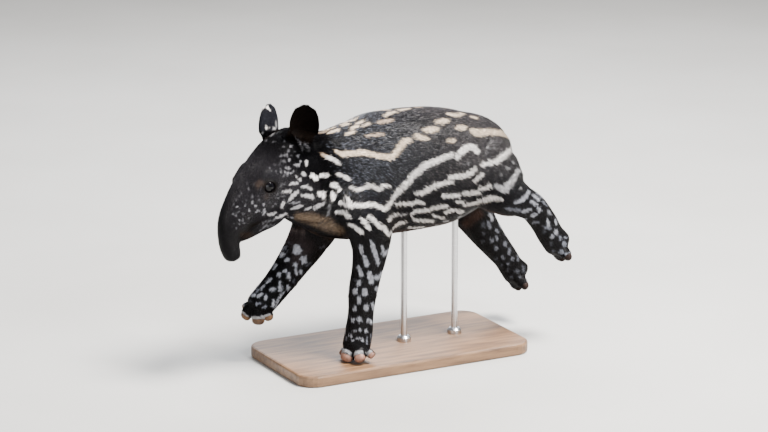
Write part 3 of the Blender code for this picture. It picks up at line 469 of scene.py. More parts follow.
        (CHALK, (366, 306.8, 4.8), (366, 308.8, 5)),
        (CHALK, (372.2, 304, 2.6), (373.8, 309, 3.2)),
        (CHALK, (358.8, 318.4, 4), (359.6, 320, 4.2)),
        (CHALK, (353, 319.6, 2.8), (353.2, 321, 2.8)),
        (CHALK, (368, 319.8, 2), (368.2, 321.8, 2.2)),
        (CHALK, (370.7, 320.8, 1.8), (371.1, 323, 1.8)),
        (MIST, (349.3, 315.6, 1.8), (349.3, 318, 1.8)),
        (CHALK, (354.5, 331.3, 3.2)),
        (CHALK, (360.7, 330.4, 3)),
        (CHALK, (366.5, 331.3, 3.2)),
        (CHALK, (349.8, 335.4, 2), (351.2, 336.4, 2.4)),
        (CHALK, (352.9, 340.6, 1.8), (357.1, 338.2, 2), (361.4, 338.4, 2.2), (362, 340.6, 1.8)),
        (FROST, (346.4, 338.8, 2.2)),
        (FROST, (366.7, 338, 1.6), (366.7, 343.6, 1.6)),
        (FROST, (370.6, 335, 1.8), (370.8, 343, 1.8)),
    ),
    "fore_right": (
        (CHALK, (295.4, 246.4, 5), (297, 250.4, 8.4)),
        (CHALK, (303.4, 259.2, 6.6), (303.8, 260.6, 6.6)),
        (CHALK, (294.8, 264.9, 4.8)),
        (CHALK, (286, 260, 3.4), (288.2, 260.2, 3.2)),
        (CHALK, (281.4, 256.2, 2.6), (283.6, 253.8, 2.8)),
        (FROST, (282.3, 249.8, 1.8), (285.2, 247.5, 2)),
        (MIST, (284.4, 242.8, 1.6), (286.2, 241.2, 1.6)),
        (CHALK, (274.2, 268.8, 2.2), (276.4, 265.4, 2.6)),
        (CHALK, (284.9, 270.8, 3.2)),
        (CHALK, (279, 274.2, 3.6), (279, 275.6, 3.8)),
        (CHALK, (288.9, 273.6, 2.8), (288.9, 277.6, 3.8)),
        (CHALK, (296.3, 270.2, 2.6), (296.3, 273.6, 3)),
        (CHALK, (301, 271.6, 3), (301, 272.8, 3)),
        (MIST, (293.7, 280, 2.4), (293.7, 282.2, 2.6)),
        (CHALK, (267, 282.4, 2.6), (270.8, 279, 2.8)),
        (CHALK, (280.1, 282.6, 3), (280.1, 289.8, 3.8)),
        (CHALK, (288.2, 287, 3.2), (288.2, 288.4, 3.4)),
        (CHALK, (271.4, 289.6, 4), (273.4, 289.4, 4)),
        (CHALK, (261, 289.2, 2), (264, 285.8, 2.4)),
        (FROST, (256.6, 292.4, 1.2), (258.4, 289.4, 1.4)),
        (CHALK, (258.2, 296.6, 3), (261.4, 294.2, 3)),
        (CHALK, (252.8, 295.4, 3.2), (254.2, 295.2, 3.2)),
        (CHALK, (265.8, 296, 3.2), (265.8, 298.4, 3.4)),
        (MIST, (250.4, 300.8, 2.6)),
        (FROST, (244.3, 303.2, 1.8), (242.6, 306.2, 1.6)),
        (FROST, (256.6, 304, 2.6), (260.6, 303.4, 2.8)),
        (FROST, (263.2, 307, 2.2), (265.6, 306.8, 2.2)),
        (CHALK, (274.4, 300.2, 2.2), (272.8, 305.6, 3)),
        # the pale streak down the back of the lower leg: partly white hair, partly a painted sunlit rim
        (CHALK, (283.2, 292.2, 1.4), (278.3, 299.4, 1.8), (274.2, 310.4, 1.4)),
        (MIST, (320, 248.4, 2.2), (324, 246.2, 2.4)),
        (MIST, (306.4, 266, 2.2), (310.2, 263, 2.2)),
    ),
    "hind_left": (
        (CHALK, (529.2, 191.6, 3), (525.9, 196.5, 4), (521.8, 200.4, 4), (514.6, 203.4, 2.2)),
        (FROST, (506, 208.6, 2.4), (512, 209.6, 3), (519.4, 210.2, 3)),
        (CHALK, (523.3, 211.7, 3.2), (530, 209.5, 3)),
        (CHALK, (533.3, 195.4, 2.6), (538.4, 199.8, 3.2)),
        (CHALK, (536, 192.2, 1.6), (542.6, 198.2, 1.8)),
        (CHALK, (532.2, 201.8, 3.4), (535.8, 204.6, 3.4)),
        (CHALK, (539, 209, 4.4), (539.4, 210, 4.4)),
        (CHALK, (532.4, 216.2, 3.6), (535.6, 214.3, 3)),
        (FROST, (543.5, 202, 2), (546, 205.4, 2.2)),
        (CHALK, (549, 211.2, 2.4), (549.8, 214.4, 2.4)),
        (FROST, (525.9, 219, 2.8)),
        (FROST, (533.4, 223, 2.2), (538.6, 222, 2.2)),
        (CHALK, (547.9, 220.6, 2.4), (548.6, 226, 4)),
        (FROST, (543.6, 227.2, 2), (550, 228.8, 2.4)),
        (CHALK, (555.1, 219.6, 2.2), (556.3, 223.6, 2.2)),
        (MIST, (544.3, 231.7, 3.6)),
        (CHALK, (556, 231.4, 4.2), (556, 233, 4.4)),
        (CHALK, (552.2, 236.8, 3.8)),
        (FROST, (560.6, 237.4, 2.6), (561.2, 239, 2.4)),
        (FROST, (565.7, 237.9, 2.8)),
        (MIST, (551.4, 244, 3)),
        (FROST, (564.2, 244, 5.6)),
        (FROST, (570.6, 244.8, 2.2), (571.6, 249.4, 2.2)),
        (MIST, (553, 251.1, 3.2)),
        (FROST, (561.4, 252.1, 5.4)),
        (FROST, (566, 254.6, 2.6), (570, 253.3, 2.4)),
    ),
    "hind_right": (
        (CHALK, (490.3, 214.4, 2.8), (492, 219.6, 3.2)),
        (CHALK, (496.6, 217.2, 2.2), (502, 220.8, 2.6)),
        (MIST, (483, 223.4, 3.6), (483.5, 226.6, 3.8)),
        (FROST, (488.4, 222.4, 2.8), (490, 227.6, 3.2)),
        (FROST, (499.6, 224.4, 3.4), (501.2, 227.6, 3.6)),
        (FROST, (496.5, 230.4, 2.6), (498.2, 232, 2.8)),
        (MIST, (483.6, 233.8, 3.8)),
        (FROST, (506, 234.8, 3.6)),
        (FROST, (496.6, 237, 2.8), (497, 239, 3)),
        (FROST, (491.6, 239.6, 3), (491.9, 241.4, 3.2)),
        (MIST, (483, 241.4, 3.8)),
        (FROST, (511.6, 239.6, 1.8), (512, 241.2, 1.8)),
        (FROST, (505, 244, 4.4)),
        (FROST, (513.7, 245.3, 3.2)),
        (FROST, (496.3, 247.2, 3.2), (496.3, 248.8, 3.2)),
        (FROST, (509.7, 249.6, 3), (509.1, 253.2, 3.2)),
        (FROST, (503, 257.8, 4)),
        (MIST, (496.3, 258.8, 3)),
        (FROST, (512, 258, 2.6), (512, 259.6, 2.6)),
        (FROST, (517.7, 256.4, 1.8), (518, 260.4, 1.8)),
        (MIST, (501.9, 264.9, 2.8)),
        (FROST, (508.6, 264.4, 2.8)),
        (MIST, (508, 270, 2.8)),
        (MIST, (517.2, 271, 5)),
        (MIST, (523.3, 266.6, 2.8), (523.4, 271.4, 3)),
        (MIST, (511.6, 277, 3.6)),
        (MIST, (519.8, 277, 3)),
        (MIST, (526.2, 279.4, 2.6), (527.8, 280.8, 2.6)),
    ),
}
# Broad soft shades under the marks: how soft, how strong, then as for the marks.
SHADES = {
    "torso": (
        (3, 0.8, THROAT_TAN, (298, 216.5, 6), (312, 219, 11), (326, 224, 13), (340, 231, 8)),
        # painted shade in the creases of the throat and under the neck
        (0.9, 0.8, CREASE_AND_UNDER_SHADE, (298, 220.5, 0.8), (308, 222, 2), (318, 222.6, 1.6), (330, 220.6, 0.8)),
        (0.9, 0.6, CREASE_AND_UNDER_SHADE, (318, 227.6, 0.8), (328, 229.4, 1.6), (340, 233.6, 1)),
        (0.9, 0.5, CREASE_AND_UNDER_SHADE, (306, 214.6, 0.8), (318, 215.4, 1.4), (328, 216.6, 0.8)),
        (2.2, 0.9, CREASE_AND_UNDER_SHADE, (298, 227.5, 3), (314, 232.5, 4), (332, 239, 4)),
        (3, 0.5, GROIN_BROWN, (466, 224, 8), (478, 214, 10)),
    ),
    "head": (
        (2.2, 0.75, EYE_BROWN, (257.6, 185.6, 5), (260.6, 183.4, 7)),
        (2.2, 0.5, EYE_BROWN, (266.4, 197, 5)),
        # painted shade along the mouth's line
        (1.2, 0.95, DARK_SKIN_AND_SHADE, (247, 228, 2.4), (252, 225.4, 4.4), (258, 223.6, 2.6), (266, 221.8, 1)),
        (1.0, 0.7, DARK_SKIN_AND_SHADE, (262, 224.6, 0.8), (272, 223, 1.2), (283, 219.6, 0.8)),
        # painted shade under the chin
        (2.0, 0.6, CREASE_AND_UNDER_SHADE, (243, 235, 6), (250, 235, 6)),
    ),
    "fore_right": (
        # the top of the far foreleg: brown, made lighter as painted light
        (5, 0.8, LIT_LEG_UMBER, (291, 238, 14), (306, 246, 16), (296, 262, 10)),
        (2, 0.5, ROSE_GREY, (290, 230, 3), (303, 232.6, 4)),
    ),
}
PART_PLANES = {
    "torso": 0.0,
    "neck": 0.0,
    "fore_left": -0.056,
    "fore_right": 0.056,
    "hind_left": -0.062,
    "hind_right": 0.056,
}
SLANT_LIMIT = 0.55  # how much of a mark's true breadth the camera must see at least
MARK_BLUR, MARK_RAGGED = 0.55, 0.85  # in pixels
# The tone of the marks of each kind of part, and their share of the breadth given; on the legs the tone is
# painted shade, darker and bluer as in shadow
PLAIN_MARK_LOOK = (1.0, 1.0, 1.0), 0.91
MARK_TONES_AND_SHADE = {"head": ((0.48, 0.48, 0.50), 0.72), "leg": ((0.42, 0.45, 0.52), 0.91)}

rng = np.random.default_rng(7)


# Shapes


def catmull_rom(rows, pieces):
    rows = np.asarray(rows, float)
    ends = np.vstack([2 * rows[0] - rows[1], rows, 2 * rows[-1] - rows[-2]])
    run = []
    for a, b, c, d in zip(ends, ends[1:], ends[2:], ends[3:]):
        for t in np.arange(pieces) / pieces:
            bend = 2 * a - 5 * b + 4 * c - d
            run.append(0.5 * (2 * b + (c - a) * t + bend * t**2 + (3 * b - a - 3 * c + d) * t**3))
    run.append(rows[-1])
    return np.array(run)


def unit(vector):
    vector = np.asarray(vector, float)
    return vector / np.linalg.norm(vector)


def units(vectors):
    return vectors / np.maximum(np.linalg.norm(vectors, axis=1, keepdims=True), 1e-12)


def smooth_step(low, high, x):
    t = np.clip((x - low) / (high - low), 0, 1)
    return t * t * (3 - 2 * t)


def ring(centre, along, side, sizes, count, power):
    side = unit(side - along * np.dot(side, along))
    front = np.cross(along, side)
    half, ahead, behind = sizes
    turn = np.arange(count) * 2 * math.pi / count
    wide = np.sign(np.cos(turn)) * np.abs(np.cos(turn)) ** (2 / power) * half
    deep = np.sign(np.sin(turn)) * np.abs(np.sin(turn)) ** (2 / power)
    deep = deep * np.where(deep > 0, ahead, behind)
    return centre + wide[:, None] * side + deep[:, None] * front


def loft(rows, side, count=28, pieces=6, power=2.0, round_ends=(0.7, 0.7), caps=CAP_TURNS):
    run = catmull_rom(rows, pieces)
    path, sizes = run[:, :3], run[:, 3:]
    ways = np.gradient(path, axis=0)
    rings = [ring(p, unit(w), side, s, count, power) for p, w, s in zip(path, ways, sizes)]
    for last, sign, rise in ((0, -1, round_ends[0]), (-1, 1, round_ends[1])):
        way, reach = unit(ways[last]), rise * sizes[last].min()
        cap = []
        for turn in caps:
            swing = math.radians(turn)
            centre = path[last] + sign * way * reach * math.sin(swing)
            cap.append(ring(centre, way, side, sizes[last] * math.cos(swing), count, power))
        rings = cap[::-1] + rings if sign < 0 else rings + cap
    points = np.vstack(rings)
    faces = []
    for k in range(len(rings) - 1):
        for i in range(count):
            j = (i + 1) % count
            faces.append((k * count + i, (k + 1) * count + i, (k + 1) * count + j, k * count + j))
    top = (len(rings) - 1) * count
    faces.append(tuple(range(count)))
    faces.append(tuple(range(top + count - 1, top - 1, -1)))
    return points, faces


def mesh_object(name, shapes):
    made = bmesh.new()
    for points, faces in shapes:
        corners = [made.verts.new(p) for p in points]
        for face in faces:
            made.faces.new([corners[i] for i in face])
    bmesh.ops.recalc_face_normals(made, faces=made.faces)
    mesh = bpy.data.meshes.new(name)
    made.to_mesh(mesh)
    made.free()
    obj = bpy.data.objects.new(name, mesh)
    bpy.context.scene.collection.objects.link(obj)
    return obj


def apply_modifiers(obj):
    bpy.context.view_layer.update()
    graph = bpy.context.evaluated_depsgraph_get()
    mesh = bpy.data.meshes.new_from_object(obj.evaluated_get(graph))
    obj.modifiers.clear()
    obj.data = mesh
    return obj


def boolean(obj, cutter, operation):
    modifier = obj.modifiers.new(operation.lower(), "BOOLEAN")
    modifier.operation = operation
    modifier.solver = "MANIFOLD"
    modifier.object = cutter
    apply_modifiers(obj)
    bpy.data.objects.remove(cutter)
    return obj


def ball_shape(centre, radii, turns=32, bands=20):
    points, faces = [], []
    for j in range(1, bands):
        lift = math.pi * j / bands
        for i in range(turns):
            swing = 2 * math.pi * i / turns
            way = (math.sin(lift) * math.cos(swing), math.sin(lift) * math.sin(swing), math.cos(lift))
            points.append([c + r * w for c, r, w in zip(centre, radii, way)])
    for j in range(bands - 2):
        for i in range(turns):
            k = (i + 1) % turns
            faces.append((j * turns + i, (j + 1) * turns + i, (j + 1) * turns + k, j * turns + k))
    low = len(points)
    points.append([centre[0], centre[1], centre[2] + radii[2]])
    points.append([centre[0], centre[1], centre[2] - radii[2]])
    for i in range(turns):
        k = (i + 1) % turns
        faces.append((low, i, k))
        faces.append((low + 1, (bands - 2) * turns + k, (bands - 2) * turns + i))
    return np.array(points), faces


def head_frame():
    pitch = math.radians(HEAD_PITCH)
    forward = np.array((-math.cos(pitch), 0.0, -math.sin(pitch)))
    left = np.array((0.0, -1.0, 0.0))
    up = np.cross(forward, left)
    turn = Matrix.Rotation(math.radians(HEAD_YAW), 3, "Z")
    turn = turn @ Matrix.Rotation(math.radians(HEAD_ROLL), 3, Vector(forward))
    turn = np.array(turn)
    return turn @ forward, turn @ up, turn @ left, np.array(HEAD_PLACE)


FORWARD, UPWARD, LEFTWARD, HEAD_AT = head_frame()


def in_head(u, v, w):
    return HEAD_AT + u * FORWARD + v * UPWARD + w * LEFTWARD


def head_rows(rows, side=1):
    return [(*in_head(u, v, w * side), *sizes) for u, w, v, *sizes in rows]


def side_of(name):
    return -1 if name.endswith("left") else 1


def leg_rows(name):
    return [(x, side_of(name) * y, z, *sizes) for x, y, z, *sizes in LEGS[name]]


Toe = namedtuple("Toe", "root way across front length half")


def toes_of(name):
    side = side_of(name)
    place = np.array(leg_rows(name)[-1][:3])
    ahead, rise, turn = TOE_WAY[name]
    turned = np.array(Matrix.Rotation(math.radians(turn), 3, "Z"))
    along = turned @ unit((ahead, 0, rise))
    out = turned @ np.array((0.0, side, 0.0))
    front = np.cross(along, -out * side)
    toes = []
    for spread, length, half, back in FORE_TOES if name.startswith("fore") else HIND_TOES:
        swing = math.radians(spread)
        way = along * math.cos(swing) + out * math.sin(swing)
        across = out * math.cos(swing) - along * math.sin(swing)
        root = place + out * math.sin(swing) * TOE_SPREAD - front * back
        toes.append(Toe(root, way, across, front, length, half))
    return toes


def hoof_shape(toe):
    start = toe.length * (1 - HOOF_SHARE)
    wide, thick = toe.half * HOOF_WIDTH, toe.half * HOOF_THICKNESS
    reach = toe.length * HOOF_SHARE + toe.half * HOOF_BEYOND_TOE
    rows = []
    for share, w, t in HOOF_ROWS:
        place = toe.root + toe.way * (start + reach * share)
        rows.append((*place, wide * w, thick * t, thick * t * HOOF_SOLE))
    return loft(rows, toe.across, 32, 6, 2.4, (0.05, 0.30))


def toe_rows(toe, shares):
    """Rows along a toe, from shares of its length and of its half breadth."""
    rows = []
    for along, *sizes in shares:
        rows.append((*(toe.root + toe.way * toe.length * along), *[toe.half * size for size in sizes]))
    return rows


def ear_frame(name):
    (u, v, w), (ahead, aside), lean = EARS[name]
    side = 1 if name == "left" else -1
    root = in_head(u, v, side * w)
    up = unit((0.04, -side * lean, 1.0))
    faces = np.array((ahead, aside, 0.0))
    faces = unit(faces - up * np.dot(faces, up))
    return root, up, faces, np.cross(up, faces)


def ear(name, grow):
    root, up, faces, across = ear_frame(name)
    lengths, turns = 32, 23
    height = EAR_LENGTH + EAR_ROOT_DEPTH
    widths = catmull_rom([(w,) for w in EAR_HALF_WIDTHS], 8)[:, 0] + grow
    layers = [[], []]
    for i in range(lengths):
        share = i / (lengths - 1)
        rise = height * share - EAR_ROOT_DEPTH - grow * (1 - 2 * share)
        half = float(np.interp(share, np.linspace(0, 1, len(widths)), widths))
        cup = float(np.interp(share, EAR_DEPTH_SHARES, EAR_DEPTHS))
        hollow = min(1.0, max(0.0, (share - EAR_SOLID) / (EAR_HOLLOWED - EAR_SOLID)))
        hollow = hollow * hollow * (3 - 2 * hollow)
        for j in range(turns):
            swing = math.pi * (j / (turns - 1) - 0.5)
            arch = math.cos(swing)
            place = root + up * rise + across * half * math.sin(swing)
            back = -cup * arch - EAR_WALL * EAR_MIDDLE - grow
            front = back + EAR_WALL * (EAR_RIM + (1 - EAR_RIM) * arch) + 2 * grow
            filled = cup * EAR_BULGE * arch + EAR_WALL * EAR_MIDDLE + grow
            front = filled + (front - filled) * hollow
            bent = EAR_BENT_BACK * share * share
            layers[0].append(place + faces * (back - bent))
            layers[1].append(place + faces * (front - bent))
    shift = len(layers[0])

    def at(i, j, layer):
        return layer * shift + i * turns + j

    quads = []
    for i in range(lengths - 1):
        for j in range(turns - 1):
            quads.append((at(i, j, 0), at(i, j + 1, 0), at(i + 1, j + 1, 0), at(i + 1, j, 0)))
            quads.append((at(i, j, 1), at(i + 1, j, 1), at(i + 1, j + 1, 1), at(i, j + 1, 1)))
        for j in (0, turns - 1):
            quads.append((at(i, j, 0), at(i + 1, j, 0), at(i + 1, j, 1), at(i, j, 1)))
    for j in range(turns - 1):
        for i in (0, lengths - 1):
            quads.append((at(i, j, 0), at(i, j, 1), at(i, j + 1, 1), at(i, j + 1, 0)))
    return mesh_object("ear", [(layers[0] + layers[1], quads)])


def eye_place(side):
    u, v, w = EYE_PLACE
    return in_head(u, v, side * w)


def eye_frame(side):
    """The eye's middle, the way it looks, and its front-to-back and upward directions."""
    ahead, rise, aside = EYE_FACES
    faces = unit(FORWARD * ahead + UPWARD * rise + LEFTWARD * side * aside)
    along = unit(FORWARD - faces * np.dot(FORWARD, faces))
    upward = np.cross(faces, along) * side
    return eye_place(side), faces, along, upward


def lids(side):
    """A closed ring of both lids, which hugs the eyeball and sinks into the skin."""
    centre, faces, along, upward = eye_frame(side)
    count = 40
    points = []
    for i in range(count):
        turn = 2 * math.pi * i / count
        a, b = math.cos(turn), math.sin(turn)
        pinch = 1.0 + 0.10 * abs(a) ** 6
        lid = 1.0 + (0.25 if b > 0 else -0.05) * abs(b)
        for out, rise in LID_ROWS:
            x, y = (EYE_OPENING[0] * pinch + out) * a, (EYE_OPENING[1] + out) * b
            flat = math.hypot(x, y)
            height = math.sqrt(max(EYE_RADIUS**2 - flat**2, 0.0)) + rise * lid
            points.append(centre + along * x + upward * y + faces * height)
    deep = len(LID_ROWS)
    quads = []
    for i in range(count):
        for k in range(deep):
            j, n = (i + 1) % count, (k + 1) % deep
            quads.append((i * deep + k, i * deep + n, j * deep + n, j * deep + k))
    return mesh_object("lids", [(points, quads)])


def flesh_shapes():
    level = np.array((0.0, -1.0, 0.0))
    body = [(x, y, z, *sizes) for x, y, z, *sizes in BODY[::-1]]
    shapes = [
        loft(body, level, 48, 8, 2.15, (0.35, 0.7)),
        loft(head_rows(SKULL), LEFTWARD, 40, 8, 2.1),
        loft(head_rows(SNOUT), LEFTWARD, 32, 8, 2.1, (0.7, 0.3)),
        loft(head_rows(JAW), LEFTWARD, 32, 8, 2.6),
        loft(TAIL, level, 20, 6),
    ]
    for side in (1, -1):
        shapes.append(loft(head_rows(CHEEK, side), LEFTWARD, 28, 8))
        shapes.append(loft(head_rows(BROW, side), LEFTWARD, 24, 8))
        shapes.append(ball_shape(eye_place(side), [EYE_RADIUS + LID] * 3))
    for name in EARS:
        root, up, _, across = ear_frame(name)
        (u, v, w), (ahead, rise, inwards) = EARS[name][0], EAR_STALK
        side = 1 if name == "left" else -1
        foot = in_head(u + ahead, v + rise, side * (w - inwards))
        stalk = [(*foot, *[EAR_STALK_RADII[0]] * 3)]
        stalk.append((*(root - up * EAR_STALK_END), *[EAR_STALK_RADII[1]] * 3))
        shapes.append(loft(stalk, across, 28, 6, 2.0, (0.7, 0.3)))
    for name in LEGS:
        shapes.append(loft(leg_rows(name), level, 32, 8))
        for toe in toes_of(name):
            rows = [(*(toe.root - toe.way * TOE_ROOT_BEHIND), *[toe.half * size for size in TOE_ROOT])]
            rows += toe_rows(toe, TOE_ROWS[name[:4]])
            shapes.append(loft(rows, toe.across, 24, 6))
    return shapes


def prism(outline, half_width):
    points = [in_head(u, v, w) for w in (-half_width, half_width) for u, v in outline]
    count = len(outline)
    faces = [tuple(range(count)), tuple(range(2 * count - 1, count - 1, -1))]
    faces += [(i, (i + 1) % count, (i + 1) % count + count, i + count) for i in range(count)]
    return mesh_object("prism", [(points, faces)])


def mouth_slit():
    line = catmull_rom(MOUTH_LINE, 4)
    ways = np.gradient(line, axis=0)
    above, below = [], []
    for k, (point, way) in enumerate(zip(line, ways)):
        across = np.array((-way[1], way[0])) / np.linalg.norm(way)
        half = MOUTH_GAP / 2 * min(1.0, 0.15 + 1.2 * (1 - k / (len(line) - 1)))
        above.append(point + across * half)
        below.append(point - across * half)
    return prism([tuple(p) for p in above + below[::-1]], HEAD_HALF)


# Where a point lies


def read_points(mesh):
    flat = np.empty(len(mesh.vertices) * 3, np.float32)
    mesh.vertices.foreach_get("co", flat)
    return flat.reshape(-1, 3).astype(float)


def read_normals(mesh):
    flat = np.empty(len(mesh.vertices) * 3, np.float32)
    mesh.vertices.foreach_get("normal", flat)
    return flat.reshape(-1, 3).astype(float)


def head_coordinates(points):
    rel = points - HEAD_AT
    return rel @ FORWARD, rel @ UPWARD, rel @ LEFTWARD


def along_leg(points, name):
    """How far down a leg's rows each point lies, how far out of its flesh, and the leg's way."""
    rows = np.array(leg_rows(name))
    toe = toes_of(name)[1]
    end = toe.root + toe.way * toe.length
    rows = np.vstack([rows, [*end, *rows[-1, 3:] * 0.6]])
    best = np.full(len(points), 9.0)
    step = np.zeros(len(points))
    ways = np.zeros_like(points)
    for k in range(len(rows) - 1):
        a, b = rows[k, :3], rows[k + 1, :3]
        t = np.clip(((points - a) @ (b - a)) / np.dot(b - a, b - a), 0, 1)
        size = rows[k, 3:].max() * (1 - t) + rows[k + 1, 3:].max() * t
        far = np.linalg.norm(points - a - t[:, None] * (b - a), axis=1) / size
        nearer = far < best
        best = np.where(nearer, far, best)
        step = np.where(nearer, k + t, step)
        ways[nearer] = unit(b - a)
    return step, best, ways


def leg_share(points, name):
    """1 where a point is of the leg, 0 where it is of the trunk, and a blend between."""
    step, far, ways = along_leg(points, name)
    own = points[:, 1] * side_of(name) > -0.004
    return smooth_step(0.9, 2.6, step) * smooth_step(1.5, 1.15, far) * own, step, ways


def ripple(points, size, seed):
    """Smooth noise from about -1 to 1 with features of the given size."""
    draw = np.random.default_rng(seed)
    total = np.zeros(len(points))
    for _ in range(6):
        way = units(draw.normal(size=(1, 3)))[0]
        total += np.sin((points @ way) * 2 * math.pi / (size * draw.uniform(0.7, 1.4)) + draw.uniform(0, 6.3))
    return total / 2.6


# The photograph's camera


def camera_axes():
    turn, lift = math.radians(CAMERA_TURN), math.radians(CAMERA_LIFT)
    back = np.array((math.sin(turn) * math.cos(lift), -math.cos(turn) * math.cos(lift), math.sin(lift)))
    right = np.array((math.cos(turn), math.sin(turn), 0.0))
    return right, np.cross(back, right), back


CAMERA_RIGHT, CAMERA_UP, CAMERA_BACK = camera_axes()
CAMERA_AT = LOOK_AT + CAMERA_BACK * CAMERA_FAR


def to_pixels(points):
    rel = points - CAMERA_AT
    far = -rel @ CAMERA_BACK
    scale = PIXELS_A_METRE * CAMERA_FAR / far
    across, down = rel @ CAMERA_RIGHT * scale, rel @ CAMERA_UP * scale
    return np.column_stack((IMAGE_WIDTH / 2 + across, IMAGE_HEIGHT / 2 - down))


def pixel_way(x, y):
    across, down = (x - IMAGE_WIDTH / 2) / PIXELS_A_METRE, (IMAGE_HEIGHT / 2 - y) / PIXELS_A_METRE
    return unit(-CAMERA_BACK * CAMERA_FAR + CAMERA_RIGHT * across + CAMERA_UP * down)


def on_skin(tree, x, y):
    """Where the ray through a pixel meets the skin, or the nearest place that one does."""
    for reach in range(7):
        for k in range(1 if reach == 0 else 12):
            swing = 2 * math.pi * k / 12
            way = pixel_way(x + reach * math.cos(swing), y + reach * math.sin(swing))
            hit = tree.ray_cast(Vector(CAMERA_AT), Vector(way))[0]
            if hit is not None:
                return np.array(hit)
    raise ValueError("no skin near pixel %s, %s" % (x, y))


# The skin


def swell(points, middle, size, height):
    """How far the skin moves out at each point for one soft form or hollow."""
    far = np.linalg.norm((points - np.array(middle)) / np.array(size), axis=1)
    return height * np.exp(-far * far)


SNOUT_FOLD, SNOUT_FOLD_DEPTH = 0.0046, 0.00016
SNOUT_FOLDS_FROM, SNOUT_FOLDS_FULL = 0.078, 0.100

# Soft forms on both sides of the body: middle, reach along each axis, and height
FORMS = (
    ((-0.038, 0.070, 0.318), (0.020, 0.030, 0.034), 0.0030),
    ((-0.020, 0.072, 0.262), (0.022, 0.030, 0.024), 0.0022),
    ((0.010, 0.078, 0.262), (0.016, 0.030, 0.040), -0.0024),
    ((0.122, 0.072, 0.258), (0.018, 0.030, 0.030), -0.0028),
    ((0.158, 0.060, 0.300), (0.026, 0.030, 0.030), 0.0026),
    ((0.128, 0.060, 0.352), (0.020, 0.030, 0.018), 0.0018),
    ((-0.088, 0.056, 0.300), (0.014, 0.030, 0.040), -0.0022),
    ((-0.100, 0.040, 0.245), (0.016, 0.030, 0.020), 0.0018),
)


BODY_COAT_DEPTH, FACE_COAT_LESS, LEG_COAT_LESS, THIN_COAT = 0.0017, 0.0009, 0.0005, 0.001


def coat_depth(points):
    """How far the skin lies inside the solids, which is the depth of the lying coat."""
    u = head_coordinates(points)[0]
    face = smooth_step(-0.05, 0.02, u) * smooth_step(0.10, 0.13, points[:, 2])
    depth = BODY_COAT_DEPTH - FACE_COAT_LESS * face
    for name in LEGS:
        depth = depth - leg_share(points, name)[0] * LEG_COAT_LESS * (depth > THIN_COAT)
    return depth


def fused_flesh():
    """The lofted forms fused into one closed surface and smoothed."""
    skin = mesh_object("skin", flesh_shapes())
    remesh = skin.modifiers.new("fuse", "REMESH")
    remesh.mode = "VOXEL"
    remesh.voxel_size = SKIN_GRAIN
    smooth = skin.modifiers.new("blend", "SMOOTH")
    smooth.factor = 0.5
    smooth.iterations = round(PLAIN_SMOOTHING * (PLAIN_GRAIN / SKIN_GRAIN) ** 2)
    return apply_modifiers(skin)


def raise_forms(skin):
    """Moves the skin in by the coat's depth, and out or in by the soft forms and the snout's folds."""
    points, normals = read_points(skin.data), read_normals(skin.data)
    out = -coat_depth(points)
    for (x, y, z), size, height in FORMS:
        for side in (-1, 1):
            out += swell(points, (x, y * side, z), size, height)
    u, v = head_coordinates(points)[:2]
    snout = smooth_step(SNOUT_FOLDS_FROM, SNOUT_FOLDS_FULL, u)
    snout = snout * (points[:, 2] > 0.18) * (points[:, 0] < -0.22)
    fold = (u - 0.6 * v) * 2 * math.pi / SNOUT_FOLD + 1.6 * ripple(points, 0.020, 41)
    out += snout * SNOUT_FOLD_DEPTH * np.sin(fold)
    skin.data.vertices.foreach_set("co", (points + normals * out[:, None]).astype(np.float32).ravel())
    skin.data.update()


def add_toe_lobes(skin):
    """Every other toe at a time, because neighbours touch."""
    for first in (0, 1):
        lobes = []
        for name in ("fore_left", "fore_right"):
            for toe in toes_of(name)[first::2]:
                lobes.append(loft(toe_rows(toe, LOBE_ROWS), toe.across, 40, 8, 2.1, (0.7, LOBE_END)))
        boolean(skin, mesh_object("lobes", lobes), "UNION")


def cut_face(skin):
    """Sockets, lids, ears, nostrils and the mouth."""
    for side, name in ((1, "left"), (-1, "right")):
        centre, faces, along = eye_frame(side)[:3]
        socket = mesh_object("socket", [ball_shape(centre, [EYE_RADIUS + GAP] * 3)])
        rows = []
        for out_share, size in OPENING_ROWS:
            wide, high = EYE_OPENING[0] * size, EYE_OPENING[1] * size
            rows.append((*(centre + faces * EYE_RADIUS * out_share), wide, high, high))
        opening = mesh_object("opening", [loft(rows, along, 32, 2, 2.0, (0.02, 0.02), (60,))])
        boolean(skin, boolean(socket, opening, "UNION"), "DIFFERENCE")
        boolean(skin, lids(side), "UNION")
        boolean(skin, ear(name, -0.0004), "UNION")
        u, v, w = NOSTRIL_PLACE
        nostril = ball_shape(in_head(u, v, side * w), NOSTRIL_RADII, 24, 16)
        boolean(skin, mesh_object("nostril", [nostril]), "DIFFERENCE")
    boolean(skin, mouth_slit(), "DIFFERENCE")


